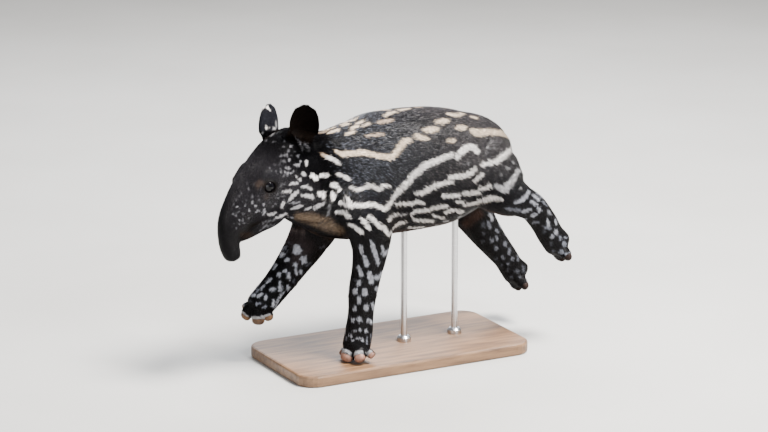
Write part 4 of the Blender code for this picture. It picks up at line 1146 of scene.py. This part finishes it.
def soften_joins(skin):
    """Softens the skin round the ears' roots and between the toes."""
    made = bmesh.new()
    made.from_mesh(skin.data)
    bmesh.ops.triangulate(made, faces=made.faces)
    roots = [ear_frame(name)[:2] for name in EARS]
    near = []
    for vertex in made.verts:
        for root, up in roots:
            rel = np.array(vertex.co) - root
            if np.dot(rel, rel) < EAR_SOFT_REACH**2 and EAR_SOFT_FROM < np.dot(rel, up) < EAR_SOFT_TO:
                near.append(vertex)
                break
    places = np.array([vertex.co for vertex in made.verts])
    about = np.zeros(len(places), bool)
    for toe in [toe for name in LEGS for toe in toes_of(name)]:
        about |= np.linalg.norm(places - (toe.root + toe.way * toe.length * 0.4), axis=1) < toe.length
    creases = [vertex for vertex, close in zip(made.verts, about) if close]
    for verts, rounds in ((near, EAR_SMOOTHING), (creases, LOBE_SMOOTHING)):
        for _ in range(rounds):
            bmesh.ops.smooth_vert(
                made, verts=verts, factor=0.5, use_axis_x=True, use_axis_y=True, use_axis_z=True
            )
    made.to_mesh(skin.data)
    made.free()


def make_skin():
    skin = fused_flesh()
    raise_forms(skin)
    add_toe_lobes(skin)
    cut_face(skin)
    soften_joins(skin)
    skin.data.shade_smooth()
    return skin


# Marks and colours


def depth_in_line(points, line, halves):
    """How far inside a run of straight pieces each point lies, whose half breadth changes."""
    if len(line) == 1:
        return halves[0] - np.linalg.norm(points - line[0], axis=1)
    best = np.full(len(points), -1e9)
    for a, b, half_a, half_b in zip(line, line[1:], halves, halves[1:]):
        t = np.clip(((points - a) @ (b - a)) / max(np.dot(b - a, b - a), 1e-12), 0, 1)
        far = np.linalg.norm(points - a - t[:, None] * (b - a), axis=1)
        best = np.maximum(best, half_a + (half_b - half_a) * t - far)
    return best


def place_marks(tree):
    """Each mark with its part, colour, softness and strength, its pixels and its line on the skin."""
    listed = []
    for part, shades in SHADES.items():
        for soft, strong, colour, *line in shades:
            listed.append((part, np.array(colour), soft, strong, 1.0, line))
    for part, marks in MARKS.items():
        # On the legs the marks are darkened and made bluer as painted shade
        tone_and_shade, slim = MARK_TONES_AND_SHADE.get("leg" if part in LEGS else part, PLAIN_MARK_LOOK)
        for colour, *line in marks:
            listed.append((part, np.array(colour) * np.array(tone_and_shade), MARK_BLUR, 1.0, slim, line))
    placed = []
    for part, colour, soft, strong, slim, line in listed:
        line = np.array(line, float)
        anchors = np.array([on_skin(tree, x, y) for x, y in line[:, :2]])
        placed.append((part, colour, soft, strong, line[:, :2], line[:, 2] * slim / 2, anchors))
    return placed


def mirrored(points, part):
    """Each point seen in the mirror of its part's own middle plane."""
    if part == "head":
        return points - 2 * ((points - HEAD_AT) @ LEFTWARD)[:, None] * LEFTWARD
    turned = points.copy()
    turned[:, 1] = 2 * PART_PLANES[part] - turned[:, 1]
    return turned


def add_marks(points, colours, placed):
    """Lays every mark and its mirrored twin over the colours, with ragged edges."""
    ragged = ripple(points, 0.0032, 11) * MARK_RAGGED
    warp = np.column_stack([ripple(points, 0.045, seed) for seed in (21, 22, 23)]) * 0.0035
    places = {}
    for part in {mark[0] for mark in placed}:
        places[part] = [(points, to_pixels(points))]
        if part == "head" or part in PART_PLANES:
            twin = mirrored(points, part) + warp
            places[part].append((twin, to_pixels(twin)))
    for part, colour, soft, strong, line, halves, anchors in placed:
        middle = anchors.mean(axis=0)
        reach = np.linalg.norm(anchors - middle, axis=1).max()
        reach += (halves.max() + soft + 2) / PIXELS_A_METRE / SLANT_LIMIT
        for at, pixels in places[part]:
            near = np.flatnonzero(np.abs(at - middle).max(axis=1) < reach)
            if not len(near):
                continue
            seen = depth_in_line(pixels[near], line, halves)
            scale = PIXELS_A_METRE * SLANT_LIMIT
            true = depth_in_line(at[near] * scale, anchors * scale, halves)
            value = smooth_step(-soft, soft, np.minimum(seen, true) - ragged[near])[:, None] * strong
            colours[near] = colours[near] * (1 - value) + colour * value
    return colours


def mix(colours, colour, share):
    return colours * (1 - share[:, None]) + np.array(colour) * share[:, None]


def ground_colours(points, normals):
    """The coat between the marks: black, browner behind and below, greyer on the face, lighter on top of the
    back as painted sunlight, with painted shade round the eyes and inside the ear cups.
    """
    colours = np.tile(np.array(BLACK), (len(points), 1))
    patch = 0.5 + 0.5 * ripple(points, 0.06, 5)
    x, _, z = points.T
    colours = mix(colours, SHOULDER_BLACK, smooth_step(-0.12, -0.07, x))
    # Painted sunlight: the top of the back behind the shoulder lighter and browner, partly its own brown
    high = smooth_step(0.26, 0.33, z)
    back = smooth_step(0.02, 0.14, x) * high * np.clip(0.75 + 0.35 * patch, 0, 1)
    colours = mix(colours, BROWN_AND_SUNLIT_BACK, back)
    colours = mix(colours, LOW_BLACK, smooth_step(0.27, 0.21, z) * (x > -0.15))
    u = head_coordinates(points)[0]
    face = smooth_step(-0.065, -0.02, u) * (z > 0.17) * (x < -0.13)
    colours = mix(colours, FACE_GREY, face)
    colours = mix(colours, SNOUT_GREY, smooth_step(0.02, 0.09, u) * (z > 0.17) * (x < -0.16))
    below = smooth_step(-0.72, -0.92, normals[:, 2])
    belly = below * smooth_step(-0.06, -0.02, x) * smooth_step(0.20, 0.16, x) * (z > 0.17)
    colours = mix(colours, GROIN_BROWN, belly * (0.45 + 0.3 * patch))
    # Painted shade: a dark ring round each eye, for the dark lids and the shade in the socket
    for side in (1, -1):
        far = np.linalg.norm(points - eye_place(side), axis=1)
        colours = mix(colours, DARK_SKIN_AND_SHADE, smooth_step(0.0165, 0.0125, far))
    for name in EARS:
        root, up = ear_frame(name)[:2]
        rel = points - root
        outside = (rel @ up > 0.012) * (np.linalg.norm(rel - up * 0.022, axis=1) < 0.038)
        colours = mix(colours, EAR_SLATE, outside)
        # Painted shade: the inner face of each ear's cup darkened
        colours = mix(colours, DARK_SKIN_AND_SHADE, ear_inside(points, normals, name))
    return colours


def ear_inside(points, normals, name):
    """1 on the inner face of an ear's cup, 0 elsewhere."""
    root, up, faces = ear_frame(name)[:3]
    rel = points - root
    near = (rel @ up > -0.006) & (np.linalg.norm(rel - up * 0.022, axis=1) < 0.038)
    return smooth_step(-0.05, 0.25, normals @ faces) * near


DULL_GLOSS, SHOULDER_GLOSS = 0.10, 0.22


def gloss_of(points, normals):
    """How glossy the coat is: most on shoulder and back, little in the ear cups."""
    x, _, z = points.T
    gloss = DULL_GLOSS + SHOULDER_GLOSS * smooth_step(-0.12, -0.07, x) * smooth_step(0.24, 0.31, z)
    u = head_coordinates(points)[0]
    crown = smooth_step(-0.01, -0.05, u) * smooth_step(-0.09, -0.12, x)
    gloss = gloss * (1 - 0.8 * crown)
    gloss = gloss * (1 - 0.4 * smooth_step(-0.05, 0.0, u) * (x < -0.13))
    for name in EARS:
        gloss = gloss * (1 - 0.7 * ear_inside(points, normals, name))
    return gloss


def coronets(points, colours):
    """The white hair in a band above each fore hoof, with dark clefts between the toes."""
    ragged = ripple(points, 0.003, 13) * 0.0005
    for name, top in CORONET_TOP.items():
        for toe in toes_of(name):
            rel = points - toe.root
            along = rel @ toe.way - toe.length * (1 - HOOF_SHARE) + ragged
            aside = np.abs(rel @ toe.across) / toe.half
            near = np.linalg.norm(rel - toe.way * toe.length * 0.7, axis=1) < toe.half * 1.9
            band = smooth_step(top - 0.0010, top + 0.0008, along) * smooth_step(0.98, 0.78, aside)
            band = band * near * smooth_step(-0.35, 0.10, (rel @ toe.front) / toe.half)
            colours = mix(colours, FROST, band * 0.85)
    return colours


def coat_colours(points, normals, placed):
    colours = ground_colours(points, normals)
    return coronets(points, add_marks(points, colours, placed))


def store_colours(mesh, colours, gloss):
    attribute = mesh.color_attributes.new("coat_colour", "FLOAT_COLOR", "POINT")
    values = np.column_stack((colours, gloss)).astype(np.float32)
    attribute.data.foreach_set("color", values.ravel())


# The coat


def lie_of(points, normals):
    """The way the hair lies: from the nose back, along the trunk, and down each leg."""
    ways = np.tile(np.array((1.0, 0.0, -0.25)), (len(points), 1))
    x, y, z = points.T
    ways[:, 2] -= 0.55 * smooth_step(0.36, 0.28, z) + 0.8 * smooth_step(0.12, 0.20, x)
    ways[:, 1] += 0.35 * np.clip(y / 0.03, -1, 1) * smooth_step(0.33, 0.37, z)
    u = head_coordinates(points)[0]
    head = smooth_step(-0.10, -0.04, u) * (z > 0.17)
    ways = ways * (1 - head[:, None]) - FORWARD * head[:, None]
    for name in LEGS:
        share, _, down = leg_share(points, name)
        ways = ways * (1 - share[:, None]) + down * share[:, None]
    tail = (x > 0.196) & (np.abs(y) < 0.013) & (z > 0.27) & (z < 0.335)
    ways[tail] = unit((0.45, 0.0, -0.9))
    for name in EARS:
        root, up = ear_frame(name)[:2]
        rel = points - root
        share = smooth_step(-0.006, 0.006, rel @ up) * (np.linalg.norm(rel - up * 0.02, axis=1) < 0.042)
        ways = ways * (1 - share[:, None]) + up * share[:, None]
    ways = ways - normals * (ways * normals).sum(axis=1)[:, None]
    return units(ways)


def surface_of(mesh):
    mesh.calc_loop_triangles()
    corners = np.empty(len(mesh.loop_triangles) * 3, np.int32)
    mesh.loop_triangles.foreach_get("vertices", corners)
    return read_points(mesh), read_normals(mesh), corners.reshape(-1, 3)


# Regions of the coat: tufts a square millimetre, length, width and lift of a tuft
COATS = {
    "torso": (0.84, 0.0062, 0.00088, 9),
    "neck": (0.88, 0.0062, 0.00086, 10),
    "head": (1.50, 0.0034, 0.00060, 8),
    "leg": (1.08, 0.0042, 0.00074, 9),
    "foot": (1.50, 0.0030, 0.00062, 10),
    "ear": (1.50, 0.0026, 0.00056, 9),
}
COAT_SIZES = np.array(list(COATS.values()))
TORSO, NECK, HEAD, LEG, FOOT, EAR = range(len(COATS))
SEEN_SHARES = 0.15, 0.95  # where along a tuft its colour is read, because its root is hidden
TUFTS_A_PIECE = 45000
# How far a tuft leans aside, in shares of its length, and the ranges of its size and lift
TUFT_SWAY, TUFT_LEAN = 0.16, 0.13
MUZZLE_SHORTER, MUZZLE_THINNER = 0.45, 0.25
TUFT_LENGTHS, TUFT_WIDTHS, TUFT_LIFTS = (0.75, 1.2), (0.8, 1.2), (0.4, 1.7)
DARK_UNEVEN, PALE_UNEVEN = 0.5, (0.6, 1.2)
GLINT_SHARE, GLINT_STRENGTHS = 0.14, (0.3, 1.2)
TUFT_SUNK, TUFT_THICKNESS, TUFT_RIDGE_BACK = 0.0004, 0.45, 0.2
TUFT_FACES = ((0, 1, 2), (1, 3, 2), (3, 0, 2), (0, 3, 1))
TUFT_SHADES = (0.80, 0.80, 0.80, 1.12)  # darker at the root, paler at the tip
# A tuft's four corners round its root, in the unwrap
TUFT_PATCH = ((-0.0012, -0.0010), (0.0012, -0.0010), (0.0, 0.0002), (0.0, 0.0016))


def region_of(points):
    """The region of each point, by number in the order of COATS, and the leg that it is of."""
    u = head_coordinates(points)[0]
    region = np.full(len(points), TORSO)
    leg = np.full(len(points), -1)
    x, _, z = points.T
    region[(x < -0.105) & (z > 0.19)] = NECK
    region[(u > -0.075) & (z > 0.17) & (x < -0.13)] = HEAD
    for k, name in enumerate(LEGS):
        share, step = leg_share(points, name)[:2]
        own = share > 0.55
        last = len(LEGS[name]) - 2
        region[own] = np.where(step[own] > last, FOOT, LEG)
        leg[own] = k
    for name in EARS:
        root, up = ear_frame(name)[:2]
        rel = points - root
        on = (rel @ up > 0.001) & (np.linalg.norm(rel - up * 0.024, axis=1) < 0.036)
        region[on] = EAR
    return region, leg


def bare(points, normals):
    """Where no tuft grows: in sockets, mouth and nostrils, and under hooves."""
    skip = np.zeros(len(points), bool)
    for side in (1, -1):
        centre, faces, along, upward = eye_frame(side)
        rel = points - centre
        across = rel @ along / (EYE_OPENING[0] + 0.0018)
        high = rel @ upward / (EYE_OPENING[1] + 0.0020)
        skip |= (across**2 + high**2 < 1) & (rel @ faces > -0.004)
        skip |= np.linalg.norm(rel, axis=1) < EYE_RADIUS + 0.0006
        u, v, w = NOSTRIL_PLACE
        skip |= np.linalg.norm(points - in_head(u, v, side * w), axis=1) < 0.0042
    u, v = head_coordinates(points)[:2]
    line = catmull_rom(MOUTH_LINE, 3)
    mouth = -depth_in_line(np.column_stack((u, v)), line, np.zeros(len(line)))
    skip |= (mouth < MOUTH_GAP * 0.7) & (points[:, 0] < -0.19)
    for name in LEGS:
        for toe in toes_of(name):
            rel = points - toe.root
            near = np.linalg.norm(rel - toe.way * toe.length * 0.8, axis=1) < toe.half * 1.5
            skip |= near & (rel @ toe.way > toe.length * 0.6) & (normals @ toe.way > 0.75)
    return skip


def unwrap(points, piece):
    """Where each root lies on a flat unwrap of its own part of the skin."""
    x, y, z = points.T
    if piece.startswith("torso"):
        turn = np.arctan2(np.abs(y), z - 0.285) / math.pi
        return np.column_stack(((x + 0.14) / 0.39, turn))
    if piece in ("head", "neck"):
        u, v, w = head_coordinates(points)
        turn = np.arctan2(w, v + 0.012) / (2 * math.pi) + 0.5
        return np.column_stack((turn, (u + 0.15) / 0.30))
    if piece == "ears":
        place = np.zeros((len(points), 2))
        for k, name in enumerate(EARS):
            root, up, faces, across = ear_frame(name)
            rel = points - root
            own = np.linalg.norm(rel, axis=1) < 0.065
            turn = np.arctan2(rel @ across, rel @ faces) / (2 * math.pi) + 0.5
            place[own] = np.column_stack(((k + turn) / 2, (rel @ up + 0.01) / 0.08))[own]
        return place
    rows = np.array(leg_rows(piece))
    step, _, ways = along_leg(points, piece)
    toe = toes_of(piece)[1]
    path = np.vstack([rows[:, :3], toe.root + toe.way * toe.length])
    base = np.clip(np.floor(step).astype(int), 0, len(path) - 2)
    centre = path[base] + (path[base + 1] - path[base]) * (step - base)[:, None]
    rel = points - centre
    ahead = np.cross(ways, np.array((0.0, 1.0, 0.0)))
    turn = np.arctan2(rel[:, 1], (rel * ahead).sum(axis=1)) / (2 * math.pi) + 0.5
    return np.column_stack((turn, step / len(path)))


def tuft_mesh(name, roots, normals, ways, length, width, lift, colours, gloss, flat):
    """Closed tapered tufts of four faces each, as one mesh."""
    count = len(roots)
    aside = np.cross(normals, ways)
    tip_way = ways * np.cos(lift)[:, None] + normals * np.sin(lift)[:, None]
    foot = roots - normals * TUFT_SUNK
    thick = width * TUFT_THICKNESS
    corners = np.empty((count, 4, 3))
    corners[:, 0] = foot - aside * width[:, None] / 2
    corners[:, 1] = foot + aside * width[:, None] / 2
    corners[:, 2] = foot + normals * thick[:, None] - ways * width[:, None] * TUFT_RIDGE_BACK
    corners[:, 3] = roots + tip_way * length[:, None]
    faces = np.array(TUFT_FACES)
    indices = (np.arange(count) * 4)[:, None, None] + faces[None]
    mesh = bpy.data.meshes.new(name)
    mesh.vertices.add(count * 4)
    mesh.vertices.foreach_set("co", corners.astype(np.float32).ravel())
    mesh.loops.add(count * 12)
    mesh.loops.foreach_set("vertex_index", indices.astype(np.int32).ravel())
    mesh.polygons.add(count * 4)
    mesh.polygons.foreach_set("loop_start", np.arange(0, count * 12, 3, dtype=np.int32))
    mesh.update(calc_edges=True)
    mesh.validate()
    shades = colours[:, None, :] * np.array(TUFT_SHADES)[None, :, None]
    store_colours(mesh, shades.reshape(-1, 3), np.repeat(gloss, 4))
    uv = flat[:, None, :] + np.array(TUFT_PATCH)[None]
    loops = uv[:, faces.ravel()].reshape(-1, 2)
    layer = mesh.uv_layers.new(name="OFBake")
    layer.data.foreach_set("uv", np.clip(loops, 0.0, 1.0).astype(np.float32).ravel())
    obj = bpy.data.objects.new(name, mesh)
    bpy.context.scene.collection.objects.link(obj)
    return obj


def scatter_roots(skin):
    """The tufts' roots over the skin, how it faces there, and the region and leg of each."""
    points, normals, corners = surface_of(skin.data)
    a, b, c = (points[corners[:, k]] for k in range(3))
    area = np.linalg.norm(np.cross(b - a, c - a), axis=1) / 2
    middle = (a + b + c) / 3
    facing = units(np.cross(b - a, c - a))
    region, leg = region_of(middle)
    share = area * COAT_SIZES[region, 0] * 1e6
    share[bare(middle, facing)] = 0
    count = int(share.sum())
    chosen = rng.choice(len(area), count, p=share / share.sum())
    s, t = np.sqrt(rng.random(count)), rng.random(count)
    weights = np.column_stack((1 - s, s * (1 - t), s * t))
    roots = (points[corners[chosen]] * weights[:, :, None]).sum(axis=1)
    ups = units((normals[corners[chosen]] * weights[:, :, None]).sum(axis=1))
    keep = ~bare(roots, ups)
    chosen = chosen[keep]
    return roots[keep], ups[keep], region[chosen], leg[chosen]


def tuft_colours(roots, tips, ups, placed):
    """The marks' colours, uneven from tuft to tuft, with glints on the shoulder and back."""
    colours = coat_colours(tips, ups, placed)
    pale = smooth_step(0.03, 0.20, colours.mean(axis=1))
    dark_uneven = np.exp(rng.normal(0, DARK_UNEVEN, len(roots)))
    uneven = dark_uneven * (1 - pale) + rng.uniform(*PALE_UNEVEN, len(roots)) * pale
    colours = colours * uneven[:, None]
    x, _, z = roots.T
    lit = smooth_step(-0.13, -0.07, x) * smooth_step(0.24, 0.10, x) * smooth_step(0.26, 0.31, z)
    glint = (rng.random(len(roots)) < GLINT_SHARE * lit) & (pale < 0.1)
    shine = mix(np.tile(np.array(GLINT), (len(roots), 1)), REAR_GLINT, smooth_step(-0.05, 0.05, x))
    colours[glint] = shine[glint] * rng.uniform(*GLINT_STRENGTHS, glint.sum())[:, None]
    return colours


def make_coat(skin, placed):
    roots, ups, region, leg = scatter_roots(skin)
    ways = lie_of(roots, ups)
    aside = np.cross(ups, ways)
    bend = ripple(roots, 0.03, 31) * TUFT_SWAY + rng.normal(0, TUFT_LEAN, len(roots))
    ways = units(ways + aside * bend[:, None])
    length = COAT_SIZES[region, 1] * rng.uniform(*TUFT_LENGTHS, len(roots))
    muzzle = (region == HEAD) * smooth_step(0.02, 0.09, head_coordinates(roots)[0])
    length = length * (1 - MUZZLE_SHORTER * muzzle)
    width = COAT_SIZES[region, 2] * rng.uniform(*TUFT_WIDTHS, len(roots)) * (1 - MUZZLE_THINNER * muzzle)
    lift = np.radians(COAT_SIZES[region, 3] * rng.uniform(*TUFT_LIFTS, len(roots)))
    seen = length * rng.uniform(*SEEN_SHARES, len(roots))
    colours = tuft_colours(roots, roots + ways * seen[:, None], ups, placed)
    fields = (roots, ups, ways, length, width, lift, colours, gloss_of(roots, ups))
    pieces = []
    sorts = {
        "torso_left": (region == TORSO) & (roots[:, 1] < 0),
        "torso_right": (region == TORSO) & (roots[:, 1] >= 0),
        "neck": region == NECK,
        "head": region == HEAD,
        "ears": region == EAR,
    }
    for k, name in enumerate(LEGS):
        sorts[name] = (leg == k) & ((region == LEG) | (region == FOOT))
    for name, own in sorts.items():
        picked = np.flatnonzero(own)
        parts = math.ceil(len(picked) / TUFTS_A_PIECE)
        for n in range(parts):
            some = picked[n::parts]
            flat = unwrap(roots[some], name)
            label = "coat_" + name + ("_%d" % (n + 1) if parts > 1 else "")
            pieces.append(tuft_mesh(label, *[field[some] for field in fields], flat))
    return pieces


# Materials


def new_material(name, colour, roughness, metallic=0.0):
    material = bpy.data.materials.new(name)
    material.use_nodes = True
    shader = material.node_tree.nodes["Principled BSDF"]
    shader.inputs["Base Color"].default_value = (*colour, 1.0)
    shader.inputs["Roughness"].default_value = roughness
    shader.inputs["Metallic"].default_value = metallic
    return material, material.node_tree, shader


def node(tree, kind, **values):
    made = tree.nodes.new(kind)
    for key, value in values.items():
        if key in made.inputs:
            made.inputs[key].default_value = value
        else:
            setattr(made, key, value)
    return made


def noise(tree, place, scale, detail=3.0, stretch=None):
    if stretch is not None:
        mapping = node(tree, "ShaderNodeMapping")
        mapping.inputs["Scale"].default_value = stretch
        tree.links.new(place, mapping.inputs["Vector"])
        place = mapping.outputs["Vector"]
    made = node(tree, "ShaderNodeTexNoise", Scale=scale, Detail=detail)
    tree.links.new(place, made.inputs["Vector"])
    return made.outputs["Fac"]


def ramp(tree, factor, stops):
    made = tree.nodes.new("ShaderNodeValToRGB")
    elements = made.color_ramp.elements
    while len(elements) < len(stops):
        elements.new(0.5)
    for element, (place, colour) in zip(elements, stops):
        element.position = place
        element.color = (*colour, 1.0)
    tree.links.new(factor, made.inputs["Fac"])
    return made.outputs["Color"]


def bump(tree, shader, height, strength, distance):
    made = node(tree, "ShaderNodeBump", Strength=strength, Distance=distance)
    tree.links.new(height, made.inputs["Height"])
    tree.links.new(made.outputs["Normal"], shader.inputs["Normal"])


# Each material's colours along its ramp
HIDE_STOPS = ((0.30, (0.72, 0.72, 0.72)), (0.75, (1.22, 1.22, 1.22)))
EYE_STOPS = (
    (0.34, (0.0003, 0.0003, 0.0006)),
    (0.40, (0.0016, 0.0014, 0.0022)),
    (0.62, (0.0010, 0.0010, 0.0018)),
    (0.82, (0.006, 0.0045, 0.005)),
)
WOOD_STOPS = (
    (0.48, (0.075, 0.038, 0.018)),
    (0.62, (0.130, 0.068, 0.032)),
    (0.80, (0.185, 0.102, 0.050)),
)
STEEL_STOPS = ((0.3, (0.50, 0.50, 0.51)), (0.7, (0.66, 0.66, 0.67)))
FLOOR_STOPS = ((0.3, (0.39, 0.38, 0.36)), (0.7, (0.42, 0.41, 0.39)))
EYE_GLOSS = 0.2


def hide_material(name, roughness, bumpy):
    """Fur or hide, coloured by the marks kept on the mesh, with fine uneven shade."""
    material, tree, shader = new_material(name, BLACK, roughness)
    place = tree.nodes.new("ShaderNodeNewGeometry").outputs["Position"]
    attribute = node(tree, "ShaderNodeAttribute", attribute_name="coat_colour")
    tree.links.new(attribute.outputs["Alpha"], shader.inputs["Specular IOR Level"])
    shade = ramp(tree, noise(tree, place, 260.0, 4.0), HIDE_STOPS)
    mixed = node(tree, "ShaderNodeMix", data_type="RGBA", blend_type="MULTIPLY")
    mixed.inputs["Factor"].default_value = 1.0
    tree.links.new(attribute.outputs["Color"], mixed.inputs["A"])
    tree.links.new(shade, mixed.inputs["B"])
    tree.links.new(mixed.outputs["Result"], shader.inputs["Base Color"])
    bump(tree, shader, noise(tree, place, 900.0, 4.0), bumpy, 0.0006)
    return material


def dress(obj, material):
    obj.data.materials.clear()
    obj.data.materials.append(material)


def eye_material(side):
    name = "eye_left" if side > 0 else "eye_right"
    material, tree, shader = new_material(name, (0.01, 0.007, 0.006), 0.04)
    centre, faces = eye_frame(side)[:2]
    place = tree.nodes.new("ShaderNodeNewGeometry").outputs["Position"]
    rel = node(tree, "ShaderNodeVectorMath", operation="SUBTRACT")
    tree.links.new(place, rel.inputs[0])
    rel.inputs[1].default_value = tuple(centre + faces * EYE_RADIUS)
    far = node(tree, "ShaderNodeVectorMath", operation="LENGTH")
    tree.links.new(rel.outputs["Vector"], far.inputs[0])
    scaled = node(tree, "ShaderNodeMath", operation="MULTIPLY")
    scaled.inputs[1].default_value = 100.0
    tree.links.new(far.outputs["Value"], scaled.inputs[0])
    tree.links.new(ramp(tree, scaled.outputs["Value"], EYE_STOPS), shader.inputs["Base Color"])
    shader.inputs["Specular IOR Level"].default_value = EYE_GLOSS
    bump(tree, shader, noise(tree, place, 240.0, 2.0), 0.03, 0.0002)
    return material


def horn_material(name, pale, dark, gloss=0.25):
    material, tree, shader = new_material(name, pale, 0.45)
    shader.inputs["Specular IOR Level"].default_value = gloss
    place = tree.nodes.new("ShaderNodeNewGeometry").outputs["Position"]
    mottle = noise(tree, place, 140.0, 4.0, (1.0, 1.0, 0.35))
    colour = ramp(tree, mottle, ((0.30, dark), (0.62, pale), (0.85, tuple(min(1.0, c * 1.35) for c in pale))))
    tree.links.new(colour, shader.inputs["Base Color"])
    bump(tree, shader, noise(tree, place, 700.0, 3.0, (1.0, 1.0, 0.2)), 0.25, 0.0005)
    return material


def wood_material():
    material, tree, shader = new_material("base_wood", (0.42, 0.29, 0.17), 0.42)
    place = tree.nodes.new("ShaderNodeNewGeometry").outputs["Position"]
    grain = noise(tree, place, 14.0, 8.0, (0.9, 9.0, 9.0))
    fine = noise(tree, place, 90.0, 4.0, (0.5, 12.0, 12.0))
    both = node(tree, "ShaderNodeMath", operation="MULTIPLY_ADD")
    both.inputs[1].default_value = 0.30
    tree.links.new(fine, both.inputs[0])
    tree.links.new(grain, both.inputs[2])
    tree.links.new(ramp(tree, both.outputs["Value"], WOOD_STOPS), shader.inputs["Base Color"])
    bump(tree, shader, both.outputs["Value"], 0.12, 0.001)
    return material


def steel_material():
    material, tree, shader = new_material("rod_steel", (0.60, 0.60, 0.60), 0.30, 1.0)
    place = tree.nodes.new("ShaderNodeNewGeometry").outputs["Position"]
    brushed = noise(tree, place, 60.0, 4.0, (1.0, 1.0, 30.0))
    tree.links.new(ramp(tree, brushed, STEEL_STOPS), shader.inputs["Base Color"])
    bump(tree, shader, brushed, 0.10, 0.0002)
    return material


# The pieces

FLESH = ["torso", "neck", "head", "snout", "tail", "ear_left", "ear_right"]
FLESH += [name + part for name in LEGS for part in ("_leg", "_foot")]

skin = make_skin()
tree = BVHTree.FromObject(skin, bpy.context.evaluated_depsgraph_get())
placed = place_marks(tree)
skin_points, skin_normals = read_points(skin.data), read_normals(skin.data)
skin_gloss = gloss_of(skin_points, skin_normals)
store_colours(skin.data, coat_colours(skin_points, skin_normals, placed), skin_gloss)
dress(skin, hide_material("skin_hide", 0.45, 0.5))
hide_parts(*FLESH)
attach(skin, "root")

fur = hide_material("coat_fur", 0.32, 0.2)
for piece in make_coat(skin, placed):
    dress(piece, fur)
    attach(piece, "root")

horns = {
    "fore_left": horn_material("horn_pinkish", (0.24, 0.125, 0.088), (0.080, 0.036, 0.024)),
    "fore_right": horn_material("horn_tan", (0.105, 0.052, 0.022), (0.030, 0.014, 0.008)),
    # Painted shade: the hind hooves' horn made dark, as in shadow
    "hind_left": horn_material("horn_brown_in_shade", (0.022, 0.014, 0.012), (0.006, 0.0045, 0.004), 0.03),
}
horns["hind_right"] = horns["hind_left"]
for name in LEGS:
    shapes = [hoof_shape(toe) for toe in toes_of(name)]
    for k, shape in enumerate(shapes):
        hoof = mesh_object("horn_%s_%d" % (name, k + 1), [shape])
        for vertex in hoof.data.vertices:
            vertex.co.z = max(vertex.co.z, BASE_TOP + GAP)
        hoof.data.shade_smooth()
        dress(hoof, horns[name])
        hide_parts("%s_hoof_%d" % (name, k + 1))
        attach(hoof, "root")

for side, name in ((1, "left"), (-1, "right")):
    dress(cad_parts["eye_" + name], eye_material(side))
dress(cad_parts["stand_base"], wood_material())
steel = steel_material()
for name in ("front", "rear"):
    dress(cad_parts["stand_rod_" + name], steel)


# The stage

FLOOR_HALF = 4.0
# Each light: its place, what it aims at, its size, watts and colour
LIGHTS = {
    "key": ((0.75, -0.85, 2.5), (0.03, 0.0, 0.3), (0.9, 0.9), 400, (1.0, 0.97, 0.93)),
    "back": ((0.9, 1.7, 1.9), (0.0, 0.0, 0.3), (2.0, 1.0), 120, (0.92, 0.95, 1.0)),
    "catch": ((0.55, -2.6, 1.75), (-0.2, -0.05, 0.28), (0.8, 0.8), 110, (0.88, 0.94, 1.0)),
    "fill": ((-2.2, -1.6, 1.1), (-0.1, 0.0, 0.25), (1.6, 1.6), 40, (0.97, 0.98, 1.0)),
}
WORLD_COLOUR, WORLD_STRENGTH = (0.86, 0.88, 0.93, 1.0), 0.45


def floor():
    mesh = bpy.data.meshes.new("floor")
    corners = [(x * FLOOR_HALF, y * FLOOR_HALF, 0) for x, y in ((-1, -1), (1, -1), (1, 1), (-1, 1))]
    mesh.from_pydata(corners, [], [(0, 1, 2, 3)])
    obj = bpy.data.objects.new("floor", mesh)
    bpy.context.scene.collection.objects.link(obj)
    material, tree, shader = new_material("floor_pale", (0.40, 0.39, 0.37), 0.75)
    place = tree.nodes.new("ShaderNodeNewGeometry").outputs["Position"]
    tree.links.new(ramp(tree, noise(tree, place, 3.0, 3.0), FLOOR_STOPS), shader.inputs["Base Color"])
    mesh.materials.append(material)


def area_light(name, place, aim, size, watts, colour):
    data = bpy.data.lights.new(name, "AREA")
    data.shape = "RECTANGLE"
    data.size, data.size_y = size
    data.energy = watts
    data.color = colour
    obj = bpy.data.objects.new(name, data)
    bpy.context.scene.collection.objects.link(obj)
    obj.location = place
    obj.rotation_euler = (Vector(aim) - Vector(place)).to_track_quat("-Z", "Y").to_euler()


floor()
for name, settings in LIGHTS.items():
    area_light(name, *settings)

world = bpy.data.worlds.new("studio")
world.use_nodes = True
background = world.node_tree.nodes["Background"]
background.inputs["Color"].default_value = WORLD_COLOUR
background.inputs["Strength"].default_value = WORLD_STRENGTH
bpy.context.scene.world = world

lens = bpy.data.cameras.new("camera")
lens.sensor_width = SENSOR
lens.lens = SENSOR * PIXELS_A_METRE * CAMERA_FAR / IMAGE_WIDTH
camera = bpy.data.objects.new("camera", lens)
bpy.context.scene.collection.objects.link(camera)
axes = Matrix([list(axis) for axis in (CAMERA_RIGHT, CAMERA_UP, CAMERA_BACK)]).transposed().to_4x4()
camera.matrix_world = Matrix.Translation(Vector(CAMERA_AT)) @ axes
bpy.context.scene.camera = camera
